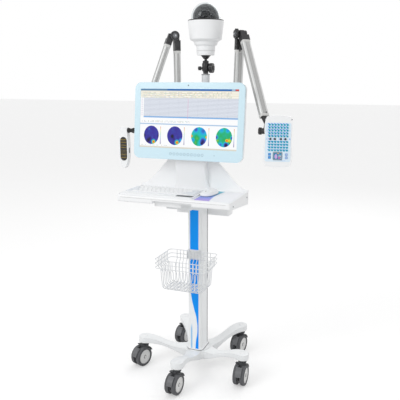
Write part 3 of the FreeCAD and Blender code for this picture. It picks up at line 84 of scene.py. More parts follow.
# ---------------------------------------------------------------- shader graphs
class Graph:
    """The node tree of one material, with short calls for the nodes it uses."""

    def __init__(self, name: str) -> None:
        """Starts a material with its Principled shader and its object coordinates."""
        self.material = bpy.data.materials.new(name)
        self.material.use_nodes = True
        self.nodes = self.material.node_tree.nodes
        self.links = self.material.node_tree.links
        self.shader = self.nodes["Principled BSDF"]
        coordinates = self.nodes.new("ShaderNodeTexCoord")
        self.place = coordinates.outputs["Object"]
        self.surface = coordinates.outputs["UV"]

    def put(self, node: bpy.types.Node, socket: str | int, value: object) -> None:
        """Links a socket into a node's input, or sets the input to a plain value."""
        if isinstance(value, bpy.types.NodeSocket):
            self.links.new(value, node.inputs[socket])
        else:
            node.inputs[socket].default_value = value

    def set(self, **values: object) -> None:
        """Sets the Principled shader's inputs, with underscores for the spaces in their names."""
        for name, value in values.items():
            self.put(self.shader, name.replace("_", " "), value)

    def math(self, operation: str, first: object, second: object = 0.0,
             third: object = 0.0) -> bpy.types.NodeSocket:
        """Adds a Math node and gives its result."""
        node = self.nodes.new("ShaderNodeMath")
        node.operation = operation
        for index, value in enumerate((first, second, third)):
            self.put(node, index, value)
        return node.outputs[0]

    def mapped(self, source: bpy.types.NodeSocket, move: Point = (0, 0, 0), turn: Point = (0, 0, 0),
               scale: Point = (1, 1, 1)) -> bpy.types.NodeSocket:
        """Moves, turns and scales coordinates."""
        node = self.nodes.new("ShaderNodeMapping")
        self.put(node, "Vector", source)
        self.put(node, "Location", move)
        self.put(node, "Rotation", turn)
        self.put(node, "Scale", scale)
        return node.outputs[0]

    def parts(self, source: bpy.types.NodeSocket) -> list[bpy.types.NodeSocket]:
        """Splits coordinates into X, Y and Z."""
        node = self.nodes.new("ShaderNodeSeparateXYZ")
        self.put(node, 0, source)
        return list(node.outputs)

    def joined(self, first: object, second: object, third: object = 0.0) -> bpy.types.NodeSocket:
        """Joins three numbers into coordinates."""
        node = self.nodes.new("ShaderNodeCombineXYZ")
        for index, value in enumerate((first, second, third)):
            self.put(node, index, value)
        return node.outputs[0]

    def noise(self, scale: float, detail: float = 2.0,
              source: bpy.types.NodeSocket | None = None) -> bpy.types.NodeSocket:
        """Adds a noise texture and gives its factor."""
        node = self.nodes.new("ShaderNodeTexNoise")
        self.put(node, "Vector", source or self.place)
        self.put(node, "Scale", scale)
        self.put(node, "Detail", detail)
        return node.outputs["Fac"]

    def spread(self, value: object, low: float, high: float, start: float = 0.0, stop: float = 1.0,
               smooth: bool = False) -> bpy.types.NodeSocket:
        """Maps a range of a value onto another range, and clamps it there."""
        node = self.nodes.new("ShaderNodeMapRange")
        node.interpolation_type = "SMOOTHSTEP" if smooth else "LINEAR"
        for index, number in enumerate((value, low, high, start, stop)):
            self.put(node, index, number)
        return node.outputs[0]

    def ramp(self, factor: object, stops: Sequence[tuple[float, Colour]]) -> bpy.types.NodeSocket:
        """Adds a colour ramp through the stops."""
        node = self.nodes.new("ShaderNodeValToRGB")
        self.put(node, 0, factor)
        elements = node.color_ramp.elements
        elements[0].position, elements[0].color = stops[0]
        elements[1].position, elements[1].color = stops[-1]
        for position, colour in stops[1:-1]:
            elements.new(position).color = colour
        return node.outputs[0]

    def mix(self, factor: object, first: object, second: object) -> bpy.types.NodeSocket:
        """Mixes two colours."""
        node = self.nodes.new("ShaderNodeMix")
        node.data_type = "RGBA"
        self.put(node, 0, factor)
        self.put(node, 6, first)
        self.put(node, 7, second)
        return node.outputs[2]

    def relief(self, height: object, strength: float, depth: float, edge: float = 0.0) -> None:
        """Bumps the surface, over edges that a Bevel node rounds by a radius.

        Args:
            height: Height of the bump.
            strength: Strength of the bump.
            depth: Height in metres at a height of one.
            edge: Radius of the rounded edges in metres, or zero for sharp ones.
        """
        node = self.nodes.new("ShaderNodeBump")
        self.put(node, "Strength", strength)
        self.put(node, "Distance", depth)
        self.put(node, "Height", height)
        if edge:
            rounded = self.nodes.new("ShaderNodeBevel")
            rounded.samples = 6
            self.put(rounded, "Radius", edge)
            self.put(node, "Normal", rounded.outputs[0])
        self.put(self.shader, "Normal", node.outputs[0])

    def worn_edge(self, radius: float) -> bpy.types.NodeSocket:
        """Gives a mask that is one along sharp edges, broken up by noise."""
        rounded = self.nodes.new("ShaderNodeBevel")
        rounded.samples = 6
        self.put(rounded, "Radius", radius)
        flat = self.nodes.new("ShaderNodeNewGeometry")
        dot = self.nodes.new("ShaderNodeVectorMath")
        dot.operation = "DOT_PRODUCT"
        self.put(dot, 0, rounded.outputs[0])
        self.put(dot, 1, flat.outputs["Normal"])
        turned = self.math("SUBTRACT", 1.0, dot.outputs["Value"])
        return self.math("MULTIPLY", self.spread(turned, 0.02, 0.3),
                         self.spread(self.noise(90, 3), 0.35, 0.7))


# ---------------------------------------------------------------- finishes
@dataclass(frozen=True)
class Moulding:
    """Moulded or coated surface: a fine grain, slight tone drift and rounded edges."""

    name: str
    colour: Colour
    roughness: float = 0.42
    grain: float = 900.0
    grain_depth: float = 0.00012
    drift: float = 0.03
    edge: float = 0.0012
    wear: float = 0.0
    metallic: float = 0.0
    coat: float = 0.0

    def make(self) -> bpy.types.Material:
        """Builds the material.

        Returns:
            The new material.
        """
        graph = Graph(self.name)
        tone = graph.spread(graph.noise(6, 3), 0.3, 0.7)
        colour = graph.mix(tone, shade(self.colour, 1 - self.drift), self.colour)
        if self.wear:
            colour = graph.mix(graph.worn_edge(0.0012), colour, shade(self.colour, 1 + self.wear))
        rub = graph.spread(graph.noise(40, 4), 0.25, 0.75, self.roughness - 0.06, self.roughness + 0.07)
        graph.set(Base_Color=colour, Roughness=rub, Metallic=self.metallic)
        if self.coat:
            graph.set(Coat_Weight=self.coat, Coat_Roughness=0.12)
        graph.relief(graph.noise(self.grain, 2), 0.35, self.grain_depth, self.edge)
        return graph.material


@dataclass(frozen=True)
class DrawnTube:
    """Anodised extrusion: fine lines along its length and a soft metal sheen."""

    name: str
    colour: Colour
    along: Vector
    roughness: float = 0.36
    metallic: float = 0.35

    def make(self) -> bpy.types.Material:
        """Builds the material, with its lines laid along the tube's direction."""
        graph = Graph(self.name)
        turn = self.along.rotation_difference(Vector((0, 0, 1))).to_euler()
        lines = graph.noise(1.0, 4, graph.mapped(graph.place, turn=turn, scale=(1500, 1500, 6)))
        tone = graph.spread(lines, 0.3, 0.7)
        colour = graph.mix(tone, shade(self.colour, 0.93), shade(self.colour, 1.03))
        rub = graph.spread(graph.noise(30, 3), 0.3, 0.7, self.roughness - 0.05, self.roughness + 0.08)
        graph.set(Base_Color=colour, Roughness=rub, Metallic=self.metallic)
        graph.relief(lines, 0.12, 0.00008, 0.001)
        return graph.material


@dataclass(frozen=True)
class ClearShell:
    """Clear plastic: transmits, with faint wipe marks."""

    name: str
    colour: Colour
    roughness: float = 0.02
    refraction: float = 1.15

    def make(self) -> bpy.types.Material:
        """Builds the material."""
        graph = Graph(self.name)
        wipe = graph.spread(graph.noise(25, 4), 0.4, 0.8, self.roughness, self.roughness + 0.05)
        graph.set(Base_Color=self.colour, Roughness=wipe, Transmission_Weight=1.0, IOR=self.refraction)
        graph.relief(graph.noise(12, 1), 0.05, 0.0002)
        return graph.material


@dataclass(frozen=True)
class SmokedShell:
    """Smoked plastic film: mostly dark, and a little see-through."""

    name: str
    colour: Colour
    cover: float = 0.74

    def make(self) -> bpy.types.Material:
        """Builds the material."""
        graph = Graph(self.name)
        wipe = graph.spread(graph.noise(25, 4), 0.4, 0.8, 0.06, 0.12)
        graph.set(Base_Color=self.colour, Roughness=wipe, Alpha=self.cover)
        return graph.material


@dataclass(frozen=True)
class ColumnPrint:
    """Glossy printed strip: blue with a white sweep low down and a pale second sweep."""

    name: str
    low: float = 0.109
    high: float = 0.832
    half_width: float = 0.0215

    def make(self) -> bpy.types.Material:
        """Builds the material on the column's own height and width."""
        graph = Graph(self.name)
        across, _, rise = graph.parts(graph.place)
        share = graph.spread(across, -self.half_width, self.half_width)
        climb = graph.spread(rise, self.low, self.high)
        edge = graph.nodes.new("ShaderNodeFloatCurve")
        graph.put(edge, "Value", climb)
        line = edge.mapping.curves[0]
        points = ((0.0, 0.62), (0.06, 0.7), (0.155, 0.88), (0.215, 0.8), (0.3, 0.45), (0.4, 0.1),
                  (0.46, 0.0), (1.0, 0.0))
        line.points[0].location = points[0]
        line.points[1].location = points[-1]
        for point in points[1:-1]:
            line.points.new(*point)
        edge.mapping.update()
        body = graph.spread(graph.math("SUBTRACT", share, edge.outputs[0]), -0.02, 0.02)
        blue = graph.mix(graph.spread(climb, 0.0, 1.0), tint("#008efa"), tint("#069fff"))
        blue = graph.mix(graph.spread(graph.noise(7, 2), 0.3, 0.7), blue, tint("#0096fb"))
        colour = graph.mix(body, tint("#f2f5f7"), blue)
        second = graph.math("MULTIPLY", graph.spread(share, 0.05, 0.09),
                            graph.spread(share, 0.2, 0.28, 1.0, 0.0))
        second = graph.math("MULTIPLY", second, graph.spread(climb, 0.15, 0.19, 1.0, 0.0))
        colour = graph.mix(second, colour, tint("#93c6ee"))
        graph.set(Base_Color=colour, Roughness=0.34, Specular_IOR_Level=0.2)
        graph.relief(graph.noise(1600, 1), 0.15, 0.00004)
        return graph.material


@dataclass(frozen=True)
class PadPrint:
    """Printed cloth pad: a sweep from purple to cyan on white, over a fine weave."""

    name: str

    def make(self) -> bpy.types.Material:
        """Builds the material on the pad's own place."""
        graph = Graph(self.name)
        across, along, _ = graph.parts(graph.place)
        share = graph.spread(across, 0.099, 0.261)
        climb = graph.spread(along, -0.318, -0.096)
        bend = graph.math("MULTIPLY", graph.math("SINE", graph.math("MULTIPLY", climb, math.pi)), -0.07)
        mask = graph.spread(graph.math("SUBTRACT", share, bend), 0.42, 0.47, 1.0, 0.0, smooth=True)
        sweep = graph.ramp(climb, [(0.0, tint("#b491e4")), (0.3, tint("#7f8ee6")), (0.85, tint("#62c2d8"))])
        colour = graph.mix(mask, tint("#f1f2f6"), sweep)
        weave = graph.nodes.new("ShaderNodeTexChecker")
        graph.put(weave, "Vector", graph.place)
        graph.put(weave, "Scale", 1400.0)
        colour = graph.mix(graph.math("MULTIPLY", weave.outputs["Fac"], 0.06), colour, tint("#c9cbd4"))
        graph.set(Base_Color=colour, Roughness=0.8, Sheen_Weight=0.2)
        graph.relief(weave.outputs["Fac"], 0.2, 0.00008)
        return graph.material


class Finish(Protocol):
    """Anything with a name that makes a material."""

    name: str

    def make(self) -> bpy.types.Material:
        """Builds the material."""


class Finishes:
    """Every finish by name, made once when it is first asked for."""

    def __init__(self) -> None:
        """Starts with no material made."""
        self.made: dict[str, bpy.types.Material] = {}

    def get(self, finish: Finish) -> bpy.types.Material:
        """Gives the material of a finish."""
        if finish.name not in self.made:
            self.made[finish.name] = finish.make()
        return self.made[finish.name]


FINISHES = Finishes()
WHITE_SHELL = Moulding("white_shell", tint("#f6f7f8"), 0.38, 1100, 0.0001)
WHITE_PAINT = Moulding("white_powder_coat", tint("#f1f3f4"), 0.36, 1500, 0.00014, edge=0.002, coat=0.2)
# Basket wire white taken a little darker: painted shade that outlines the wires against the white backdrop.
WHITE_WIRE = Moulding("white_wire_coat", tint("#e2e4e6"), 0.34, 1200, 0.00008, edge=0.0)
STAR_SHELL = Moulding("white_star_shell", tint("#f1f3f4"), 0.36, 800, 0.0001, edge=0.005)
CASTOR_DARK = Moulding("castor_hood_grey", tint("#4c4d50"), 0.5, 700, 0.0002, 0.1, 0.0015, wear=0.5)
CASTOR_TYRE = Moulding("castor_tyre_grey", tint("#58595c"), 0.68, 500, 0.0003, 0.12, 0.002)
PEDAL_GREY = Moulding("pedal_grey", tint("#6c6d70"), 0.45, 900, 0.0002, 0.08, 0.001, wear=0.4)
BLACK_FITTING = Moulding("black_fitting", tint("#2b2b2d"), 0.42, 1000, 0.0002, 0.1, 0.0012, wear=0.8)
BLACK_PLASTIC = Moulding("black_plastic", tint("#1f1f21"), 0.36, 1200, 0.00015, 0.1, 0.001, wear=0.6)
PLAIN_STEEL = Moulding("plain_steel", tint("#a9acb0"), 0.3, 1500, 0.0001, 0.08, 0.001, metallic=0.9)
BEZEL = Moulding("pale_cyan_bezel", tint("#d0ebf6"), 0.22, 1600, 0.00003, 0.015, 0.0016, coat=0.6)
SATIN_MAST = DrawnTube("satin_mast", tint("#d4d6d8"), Vector((0, 0, 1)))
DOME = ClearShell("clear_dome", tint("#f2f5f6"))
SMOKED = SmokedShell("smoked_shroud", tint("#29292b"))
HUB_GREY = Moulding("hub_pale_grey", tint("#dfdfde"), 0.4, 1200, 0.0001, 0.05, 0.0006)
SOFT_GREY = Moulding("soft_dark_grey", tint("#5b5d61"), 0.6, 1500, 0.0001, 0.08, 0.0)
KEY_WHITE = Moulding("keycap_white", tint("#f2f3f4"), 0.45, 2500, 0.00006, 0.03, 0.0)
KEY_PALE_GREY = Moulding("keycap_pale_grey", tint("#dfe3e8"), 0.45, 2500, 0.00006, 0.03, 0.0)
# Pale grey of the keyboard's well: painted shade in the gaps between the keys.
KEY_GAP_SHADE_GREY = Moulding("keyboard_well_painted_shade", tint("#d5d9dd"), 0.6, 2000, 0.00008, 0.06, 0.0)
MOUSE_SHELL = Moulding("mouse_shell_white", tint("#eceef0"), 0.34, 2200, 0.00005, 0.02, 0.0, coat=0.3)
ICON_BLUE = Moulding("print_blue", tint("#4a84ea"), 0.5, 2500, 0.00004, 0.06, 0.0)
KEY_PALE_BLUE = Moulding("key_pale_blue", tint("#a6c6f4"), 0.4, 2500, 0.00004, 0.06, 0.0006)
# Darker teal of the socket holes: painted shade inside the holes.
SOCKET_HOLE_SHADE_TEAL = Moulding("socket_hole_painted_shade", tint("#0f7f8a"), 0.4, 2500, 0.00004, 0.06, 0.0)
DIAL_GREY = Moulding("dial_ring_grey", tint("#707276"), 0.4, 1500, 0.0001, 0.08, 0.0)
KEY_BLUE = Moulding("key_blue", tint("#4f9fe6"), 0.4, 2500, 0.00004, 0.06, 0.0006)
MARK_GREY = Moulding("touch_mark_grey", tint("#9ab6c3"), 0.5, 2500, 0.00003, 0.04, 0.0)
BLACK_GLOSS = Moulding("black_gloss", tint("#0c0c0e"), 0.12, 2500, 0.00002, 0.1, 0.0, coat=0.5)
LENS_BLUE = Moulding("lens_blue_black", tint("#0d1422"), 0.08, 2500, 0.00001, 0.1, 0.0, coat=0.9)
# Mid grey: painted shade in the arm tubes' sunk channels, and the own colour of seams and the mouse wheel.
GROOVE_SHADE_AND_TRIM_GREY = Moulding("groove_shade_and_trim_grey", tint("#b9b9b8"), 0.42, 1800, 0.00006, 0.05, 0.0)
SLEEVE_PALE = Moulding("sleeve_pale", tint("#d3d3d1"), 0.4, 1800, 0.00006, 0.04, 0.0)
LAMP_GOLD = Moulding("lamp_bead_gold", tint("#8a7426"), 0.25, 2500, 0.00004, 0.2, 0.0, coat=0.6)
LAMP_DIM = Moulding("lamp_bead_dim", tint("#5a4b1c"), 0.3, 2500, 0.00004, 0.2, 0.0, coat=0.6)
LAMP_WINDOW = Moulding("lamp_window_dark", tint("#140f09"), 0.2, 2500, 0.00002, 0.2, 0.0, coat=0.5)
PANEL_BLUE = Moulding("printed_panel_blue", tint("#dff0fc"), 0.4, 2200, 0.00004, 0.02, 0.0)
JACK_CYAN = Moulding("jack_cyan", tint("#19aece"), 0.4, 2500, 0.00004, 0.06, 0.0)
DISPLAY_FRAME = Moulding("display_frame_grey", tint("#9aa3ab"), 0.35, 2500, 0.00004, 0.06, 0.0006)
DEAD_SCREEN = Moulding("screen_border_grey", tint("#dfe3e8"), 0.3, 2500, 0.00002, 0.05, 0.0)


def dress(node: str, finish: Finish) -> None:
    """Gives a CAD node a finish in every slot.

    Args:
        node: Name of the CAD node.
        finish: Finish to give it.
    """
    materials = NODES[node].data.materials
    material = FINISHES.get(finish)
    if not materials:
        materials.append(material)
    for index in range(len(materials)):
        materials[index] = material


# ---------------------------------------------------------------- modelling helpers
def clear() -> None:
    """Deselects everything."""
    bpy.ops.object.select_all(action="DESELECT")


def take(piece: bpy.types.Object) -> bpy.types.Object:
    """Selects one piece alone and makes it the active one."""
    clear()
    piece.select_set(True)
    bpy.context.view_layer.objects.active = piece
    return piece


def modified(piece: bpy.types.Object, kind: str, **settings: object) -> bpy.types.Object:
    """Adds a modifier with its settings and applies it.

    Args:
        piece: Piece to shape.
        kind: Kind of modifier.
        **settings: The modifier's properties.

    Returns:
        The same piece.
    """
    take(piece)
    modifier = piece.modifiers.new(kind.lower(), kind)
    for name, value in settings.items():
        setattr(modifier, name, value)
    bpy.ops.object.modifier_apply(modifier=modifier.name)
    return piece


def rounded(piece: bpy.types.Object, radius: float, segments: int = 3) -> bpy.types.Object:
    """Rounds a piece's sharp edges by a radius in millimetres."""
    return modified(piece, "BEVEL", width=radius * MM, segments=segments, limit_method="ANGLE",
                    angle_limit=math.radians(40), harden_normals=False)


def seated(piece: bpy.types.Object, place: Matrix) -> bpy.types.Object:
    """Carries a piece by a matrix and applies its place, so that the object stays at the origin."""
    take(piece)
    piece.matrix_world = place @ piece.matrix_world
    bpy.context.view_layer.update()
    bpy.ops.object.transform_apply(location=True, rotation=True, scale=True)
    return piece


def block(name: str, centre: Point, size: Point, radius: float = 0.0,
          segments: int = 3) -> bpy.types.Object:
    """Makes a box with rounded edges, in millimetres.

    Args:
        name: Name of the piece.
        centre: Middle of the box.
        size: Size along X, Y and Z.
        radius: Radius of its edges.
        segments: Steps round an edge.

    Returns:
        The box, with its place applied.
    """
    clear()
    bpy.ops.mesh.primitive_cube_add(size=1.0)
    piece = bpy.context.object
    piece.name = name
    piece.scale = [number * MM for number in size]
    piece.location = [number * MM for number in centre]
    bpy.ops.object.transform_apply(location=True, rotation=True, scale=True)
    return rounded(piece, radius, segments) if radius else piece


def disc(name: str, centre: Point, radius: float, depth: float, axis: Axis, round_by: float = 0.0,
         steps: int = 40) -> bpy.types.Object:
    """Makes a round piece about an axis, in millimetres.

    Args:
        name: Name of the piece.
        centre: Middle of the piece.
        radius: Its radius.
        depth: Its length along the axis.
        axis: Direction of its axis.
        round_by: Radius of its rims.
        steps: Sides of the circle.

    Returns:
        The piece, with its place applied.
    """
    clear()
    turn = {Axis.X: (0, math.pi / 2, 0), Axis.Y: (math.pi / 2, 0, 0), Axis.Z: (0, 0, 0)}[axis]
    bpy.ops.mesh.primitive_cylinder_add(vertices=steps, radius=radius * MM, depth=depth * MM, rotation=turn,
                                        location=[number * MM for number in centre])
    piece = bpy.context.object
    piece.name = name
    bpy.ops.object.transform_apply(location=True, rotation=True, scale=True)
    return rounded(piece, round_by, 3) if round_by else piece


def ring(name: str, centre: Point, radius: float, thickness: float, axis: Axis) -> bpy.types.Object:
    """Makes a round ring about an axis, in millimetres."""
    clear()
    turn = {Axis.X: (0, math.pi / 2, 0), Axis.Y: (math.pi / 2, 0, 0), Axis.Z: (0, 0, 0)}[axis]
    bpy.ops.mesh.primitive_torus_add(major_segments=48, minor_segments=10, major_radius=radius * MM,
                                     minor_radius=thickness * MM, rotation=turn,
                                     location=[number * MM for number in centre])
    piece = bpy.context.object
    piece.name = name
    bpy.ops.object.transform_apply(location=True, rotation=True, scale=True)
    return piece


def faces_towards(piece: bpy.types.Object, direction: Point, limit: float = 0.9) -> None:
    """Enters edit mode with only the faces that look along a direction selected."""
    take(piece)
    want = Vector(direction).normalized()
    mesh = piece.data
    for polygon in mesh.polygons:
        polygon.select = polygon.normal.dot(want) > limit
    for edge in mesh.edges:
        edge.select = False
    for vertex in mesh.vertices:
        vertex.select = False
    for polygon in mesh.polygons:
        if polygon.select:
            for index in polygon.vertices:
                mesh.vertices[index].select = True
    bpy.ops.object.mode_set(mode="EDIT")
    bpy.ops.mesh.select_mode(type="FACE")


def dished(piece: bpy.types.Object, direction: Point, margin: float, depth: float) -> bpy.types.Object:
    """Insets the face that looks along a direction and sinks or raises it.

    Args:
        piece: Piece to shape.
        direction: Way that the face looks.
        margin: Width of the rim that stays, in millimetres.
        depth: How far the middle is raised, in millimetres; below zero it sinks.

    Returns:
        The same piece.
    """
    faces_towards(piece, direction)
    bpy.ops.mesh.inset(thickness=margin * MM, depth=0.0)
    move = Vector(direction).normalized() * depth * MM
    bpy.ops.mesh.extrude_region_move(TRANSFORM_OT_translate={"value": tuple(move)})
    bpy.ops.object.mode_set(mode="OBJECT")
    return piece


def joined(name: str, pieces: Sequence[bpy.types.Object]) -> bpy.types.Object:
    """Joins pieces of one finish into one piece."""
    clear()
    for piece in pieces:
        piece.select_set(True)
    bpy.context.view_layer.objects.active = pieces[0]
    if len(pieces) > 1:
        bpy.ops.object.join()
    pieces[0].name = name
    return pieces[0]


def copied(piece: bpy.types.Object, name: str, place: Matrix) -> bpy.types.Object:
    """Copies a piece with a mesh of its own and carries the copy by a matrix."""
    twin = piece.copy()
    twin.data = piece.data.copy()
    twin.name = name
    bpy.context.scene.collection.objects.link(twin)
    return seated(twin, place)


def fitted(piece: bpy.types.Object, body: str, finish: object,
           smooth: float = 35.0) -> bpy.types.Object:
    """Gives a piece its finish, shading, slot and body.

    Args:
        piece: Finished piece at the origin.
        body: CAD body that it moves with.
        finish: Finish, or a material.
        smooth: Largest angle in degrees that shades smooth.

    Returns:
        The same piece.
    """
    take(piece)
    material = finish if isinstance(finish, bpy.types.Material) else FINISHES.get(finish)
    piece.data.materials.clear()
    piece.data.materials.append(material)
    bpy.ops.object.shade_smooth_by_angle(angle=math.radians(smooth))
    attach(piece, body)
    LOG.info("piece %s rides on %s", piece.name, body)
    return piece


def frame_at(spot: Point, *turns: tuple[Axis, float]) -> Matrix:
    """Gives a frame at a spot in millimetres, turned in order by angles in degrees about its own axes."""
    place = Matrix.Translation(Vector(spot) * MM)
    for axis, angle in turns:
        place = place @ Matrix.Rotation(math.radians(angle), 4, axis.value)
    return place


# ---------------------------------------------------------------- castors
@dataclass
class Castor:
    """One twin castor: hub caps, pedal grips and a dust ring round the neck. Sizes in millimetres."""

    number: int
    hub_radius: float = 36.0
    hub_face: float = 25.6
    boss_radius: float = 7.5
    neck_radius: float = 20.6
    pedal_radius: float = 56.0
    grips: tuple[float, ...] = (124.0, 134.0, 152.0, 161.0)

    def place(self) -> Matrix:
        """Gives the frame of the axle: X along it and Z up."""
        joint = JOINTS[f"castor_{self.number}_roll"]
        across = Vector(joint["axis"]).normalized()
        up = Vector((0, 0, 1))
        forward = up.cross(across)
        turn = Matrix((across, forward, up)).transposed().to_4x4()
        return Matrix.Translation(Vector(joint["pos_m"])) @ turn

    def build(self) -> None:
        """Builds the pieces of the castor."""
        body = f"castor_{self.number}"
        place = self.place()
        caps = []
        for side in (-1, 1):
            cap = disc("cap", (side * (self.hub_face + 0.7), 0, 0), self.hub_radius, 1.4, Axis.X, 0.4)
            dished(cap, (side, 0, 0), 3.2, -0.5)
            caps.append(seated(cap, place))
            boss = disc("boss", (side * (self.hub_face + 1.9), 0, 0), self.boss_radius, 3.2, Axis.X, 0.9)
            dished(boss, (side, 0, 0), 2.6, -0.8)
            caps.append(seated(boss, place))
        fitted(joined(f"{body}_hub_caps", caps), f"{body}_wheels_body", HUB_GREY)
        grooves = []
        for side in (-1, 1):
            for radius in (42.0, 45.5):
                grooves.append(seated(ring("groove", (side * 27.9, 0, 0), radius, 0.5, Axis.X), place))
        fitted(joined(f"{body}_tyre_lines", grooves), f"{body}_wheels_body", CASTOR_TYRE)
        ribs = []
        for angle in self.grips:
            rib = block("rib", (0, self.pedal_radius + 0.5, 0), (24, 1.4, 2.6), 0.5, 2)
            ribs.append(seated(rib, place @ Matrix.Rotation(math.radians(angle), 4, "X")))
        fitted(joined(f"{body}_pedal_grips", ribs), f"{body}_pedal", PEDAL_GREY)
        swivel = Vector(JOINTS[f"castor_{self.number}_swivel"]["pos_m"]) / MM
        collar = ring(f"{body}_dust_ring", (swivel.x, swivel.y, 117.0), self.neck_radius, 1.5, Axis.Z)
        fitted(collar, body, BLACK_FITTING)


# ---------------------------------------------------------------- base and column
@dataclass
class Pedestal:
    """Star hub's screws and leg end plugs, column foot and cable channel strips."""

    hub_top: float = 105.0
    column: tuple[float, float] = (74.0, 108.0)
    column_top: float = 877.0

    def build(self) -> None:
        """Builds the pieces of the base and the column."""
        collar = block("column_foot_collar", (0, 0, self.hub_top + 3),
                       (self.column[0] + 9, self.column[1] + 9, 6), 0, 1)
        self.round_upright_edges(collar, 21)
        fitted(rounded(collar, 1.6), "frame", WHITE_SHELL)
        gasket = block("column_foot_gasket", (0, 0, self.hub_top + 0.6),
                       (self.column[0] + 12, self.column[1] + 12, 1.2), 0, 1)
        self.round_upright_edges(gasket, 22)
        fitted(gasket, "frame", SOFT_GREY)
        strips = []
        for side in (-1, 1):
            middle = (self.hub_top + self.column_top) / 2
            size = (1.0, 5.0, self.column_top - self.hub_top - 20)
            strips.append(block("strip", (side * (self.column[0] / 2 + 0.1), 31, middle), size, 0.3, 2))
        fitted(joined("column_channel_strips", strips), "frame", SOFT_GREY)
        screws = []
        for angle in (45, 135, 225, 315):
            spot = Vector((math.sin(math.radians(angle)) * 55, math.cos(math.radians(angle)) * 55,
                           self.hub_top - 0.2))
            screws.append(cap_screw("hub_screw", spot, 3.6, Axis.Z, 1))
        plugs = []
        for number in range(1, 6):
            spot = Vector(JOINTS[f"castor_{number}_swivel"]["pos_m"]) / MM
            plug = disc("plug", (spot.x, spot.y, 149.4), 13, 1.6, Axis.Z, 0.6)
            plugs.append(dished(plug, (0, 0, 1), 2.5, -0.4))
        fitted(joined("leg_end_plugs", plugs), "frame", WHITE_SHELL)
        fitted(joined("hub_screws", screws), "frame", PLAIN_STEEL)

    @staticmethod
    def round_upright_edges(piece: bpy.types.Object, radius: float) -> None:
        """Rounds only the four upright edges of a box."""
        take(piece)
        mesh = piece.data
        for polygon in mesh.polygons:
            polygon.select = False
        for vertex in mesh.vertices:
            vertex.select = False
        for edge in mesh.edges:
            first, second = (mesh.vertices[index].co for index in edge.vertices)
            edge.select = abs(first.z - second.z) > 1e-5
        bpy.ops.object.mode_set(mode="EDIT")
        bpy.ops.mesh.select_mode(type="EDGE")
        bpy.ops.mesh.bevel(offset=radius * MM, segments=8, affect="EDGES")
        bpy.ops.object.mode_set(mode="OBJECT")


def cap_screw(name: str, spot: Point, radius: float, axis: Axis, way: int) -> bpy.types.Object:
    """Makes a socket screw's head with a six-sided recess, in millimetres.

    Args:
        name: Name of the piece.
        spot: Middle of the seat under the head.
        radius: Radius of the head.
        axis: Axis of the screw.
        way: Way along the axis that the head looks, 1 or -1.

    Returns:
        The head, with its six-sided recess cut into it.
    """
    out = Vector({Axis.X: (1, 0, 0), Axis.Y: (0, 1, 0), Axis.Z: (0, 0, 1)}[axis]) * way
    head = disc(name, Vector(spot) + out * radius * 0.35, radius, radius * 0.7, axis, radius * 0.15, 24)
    socket = disc("socket", Vector(spot) + out * radius * 0.7, radius * 0.5, radius * 0.7, axis, 0, 6)
    take(head)
    cutter = head.modifiers.new("socket", "BOOLEAN")
    cutter.object = socket
    cutter.operation = "DIFFERENCE"
    bpy.ops.object.modifier_apply(modifier=cutter.name)
    bpy.data.objects.remove(socket)
    return head


# ---------------------------------------------------------------- worktop, keyboard and mouse
@dataclass
class Worktop:
    """Deck trim, cheek screws and the seam along the front."""

    half_width: float = 270.5
    front: float = -323.0
    back: float = -58.0
    deck: float = 941.0

    def build(self) -> None:
        """Builds the pieces of the worktop."""
        lips = [
            block("lip", (0, self.front + 6.5, self.deck + 0.9),
                  (2 * self.half_width - 30, 5, 2.6), 1.0, 2),
            block("lip", (-self.half_width + 5.0, (self.front + self.back) / 2, self.deck + 0.9),
                  (5, self.back - self.front - 26, 2.6), 1.0, 2),
            block("lip", (self.half_width - 5.0, (self.front + self.back) / 2, self.deck + 0.9),
                  (5, self.back - self.front - 26, 2.6), 1.0, 2),
        ]
        fitted(joined("deck_lips", lips), "frame", WHITE_SHELL)
        cheek = self.half_width - 1.0
        screws = [cap_screw("cheek_screw", (side * cheek, along, self.deck - 20), 3.2, Axis.X, side)
                  for along in (self.front + 36, self.back - 24) for side in (-1, 1)]
        fitted(joined("cheek_screws", screws), "frame", PLAIN_STEEL)
        seam = block("fascia_seam", (0, self.front - 0.1, self.deck - 9),
                     (2 * self.half_width - 40, 0.6, 0.9))
        fitted(seam, "frame", GROOVE_SHADE_AND_TRIM_GREY)


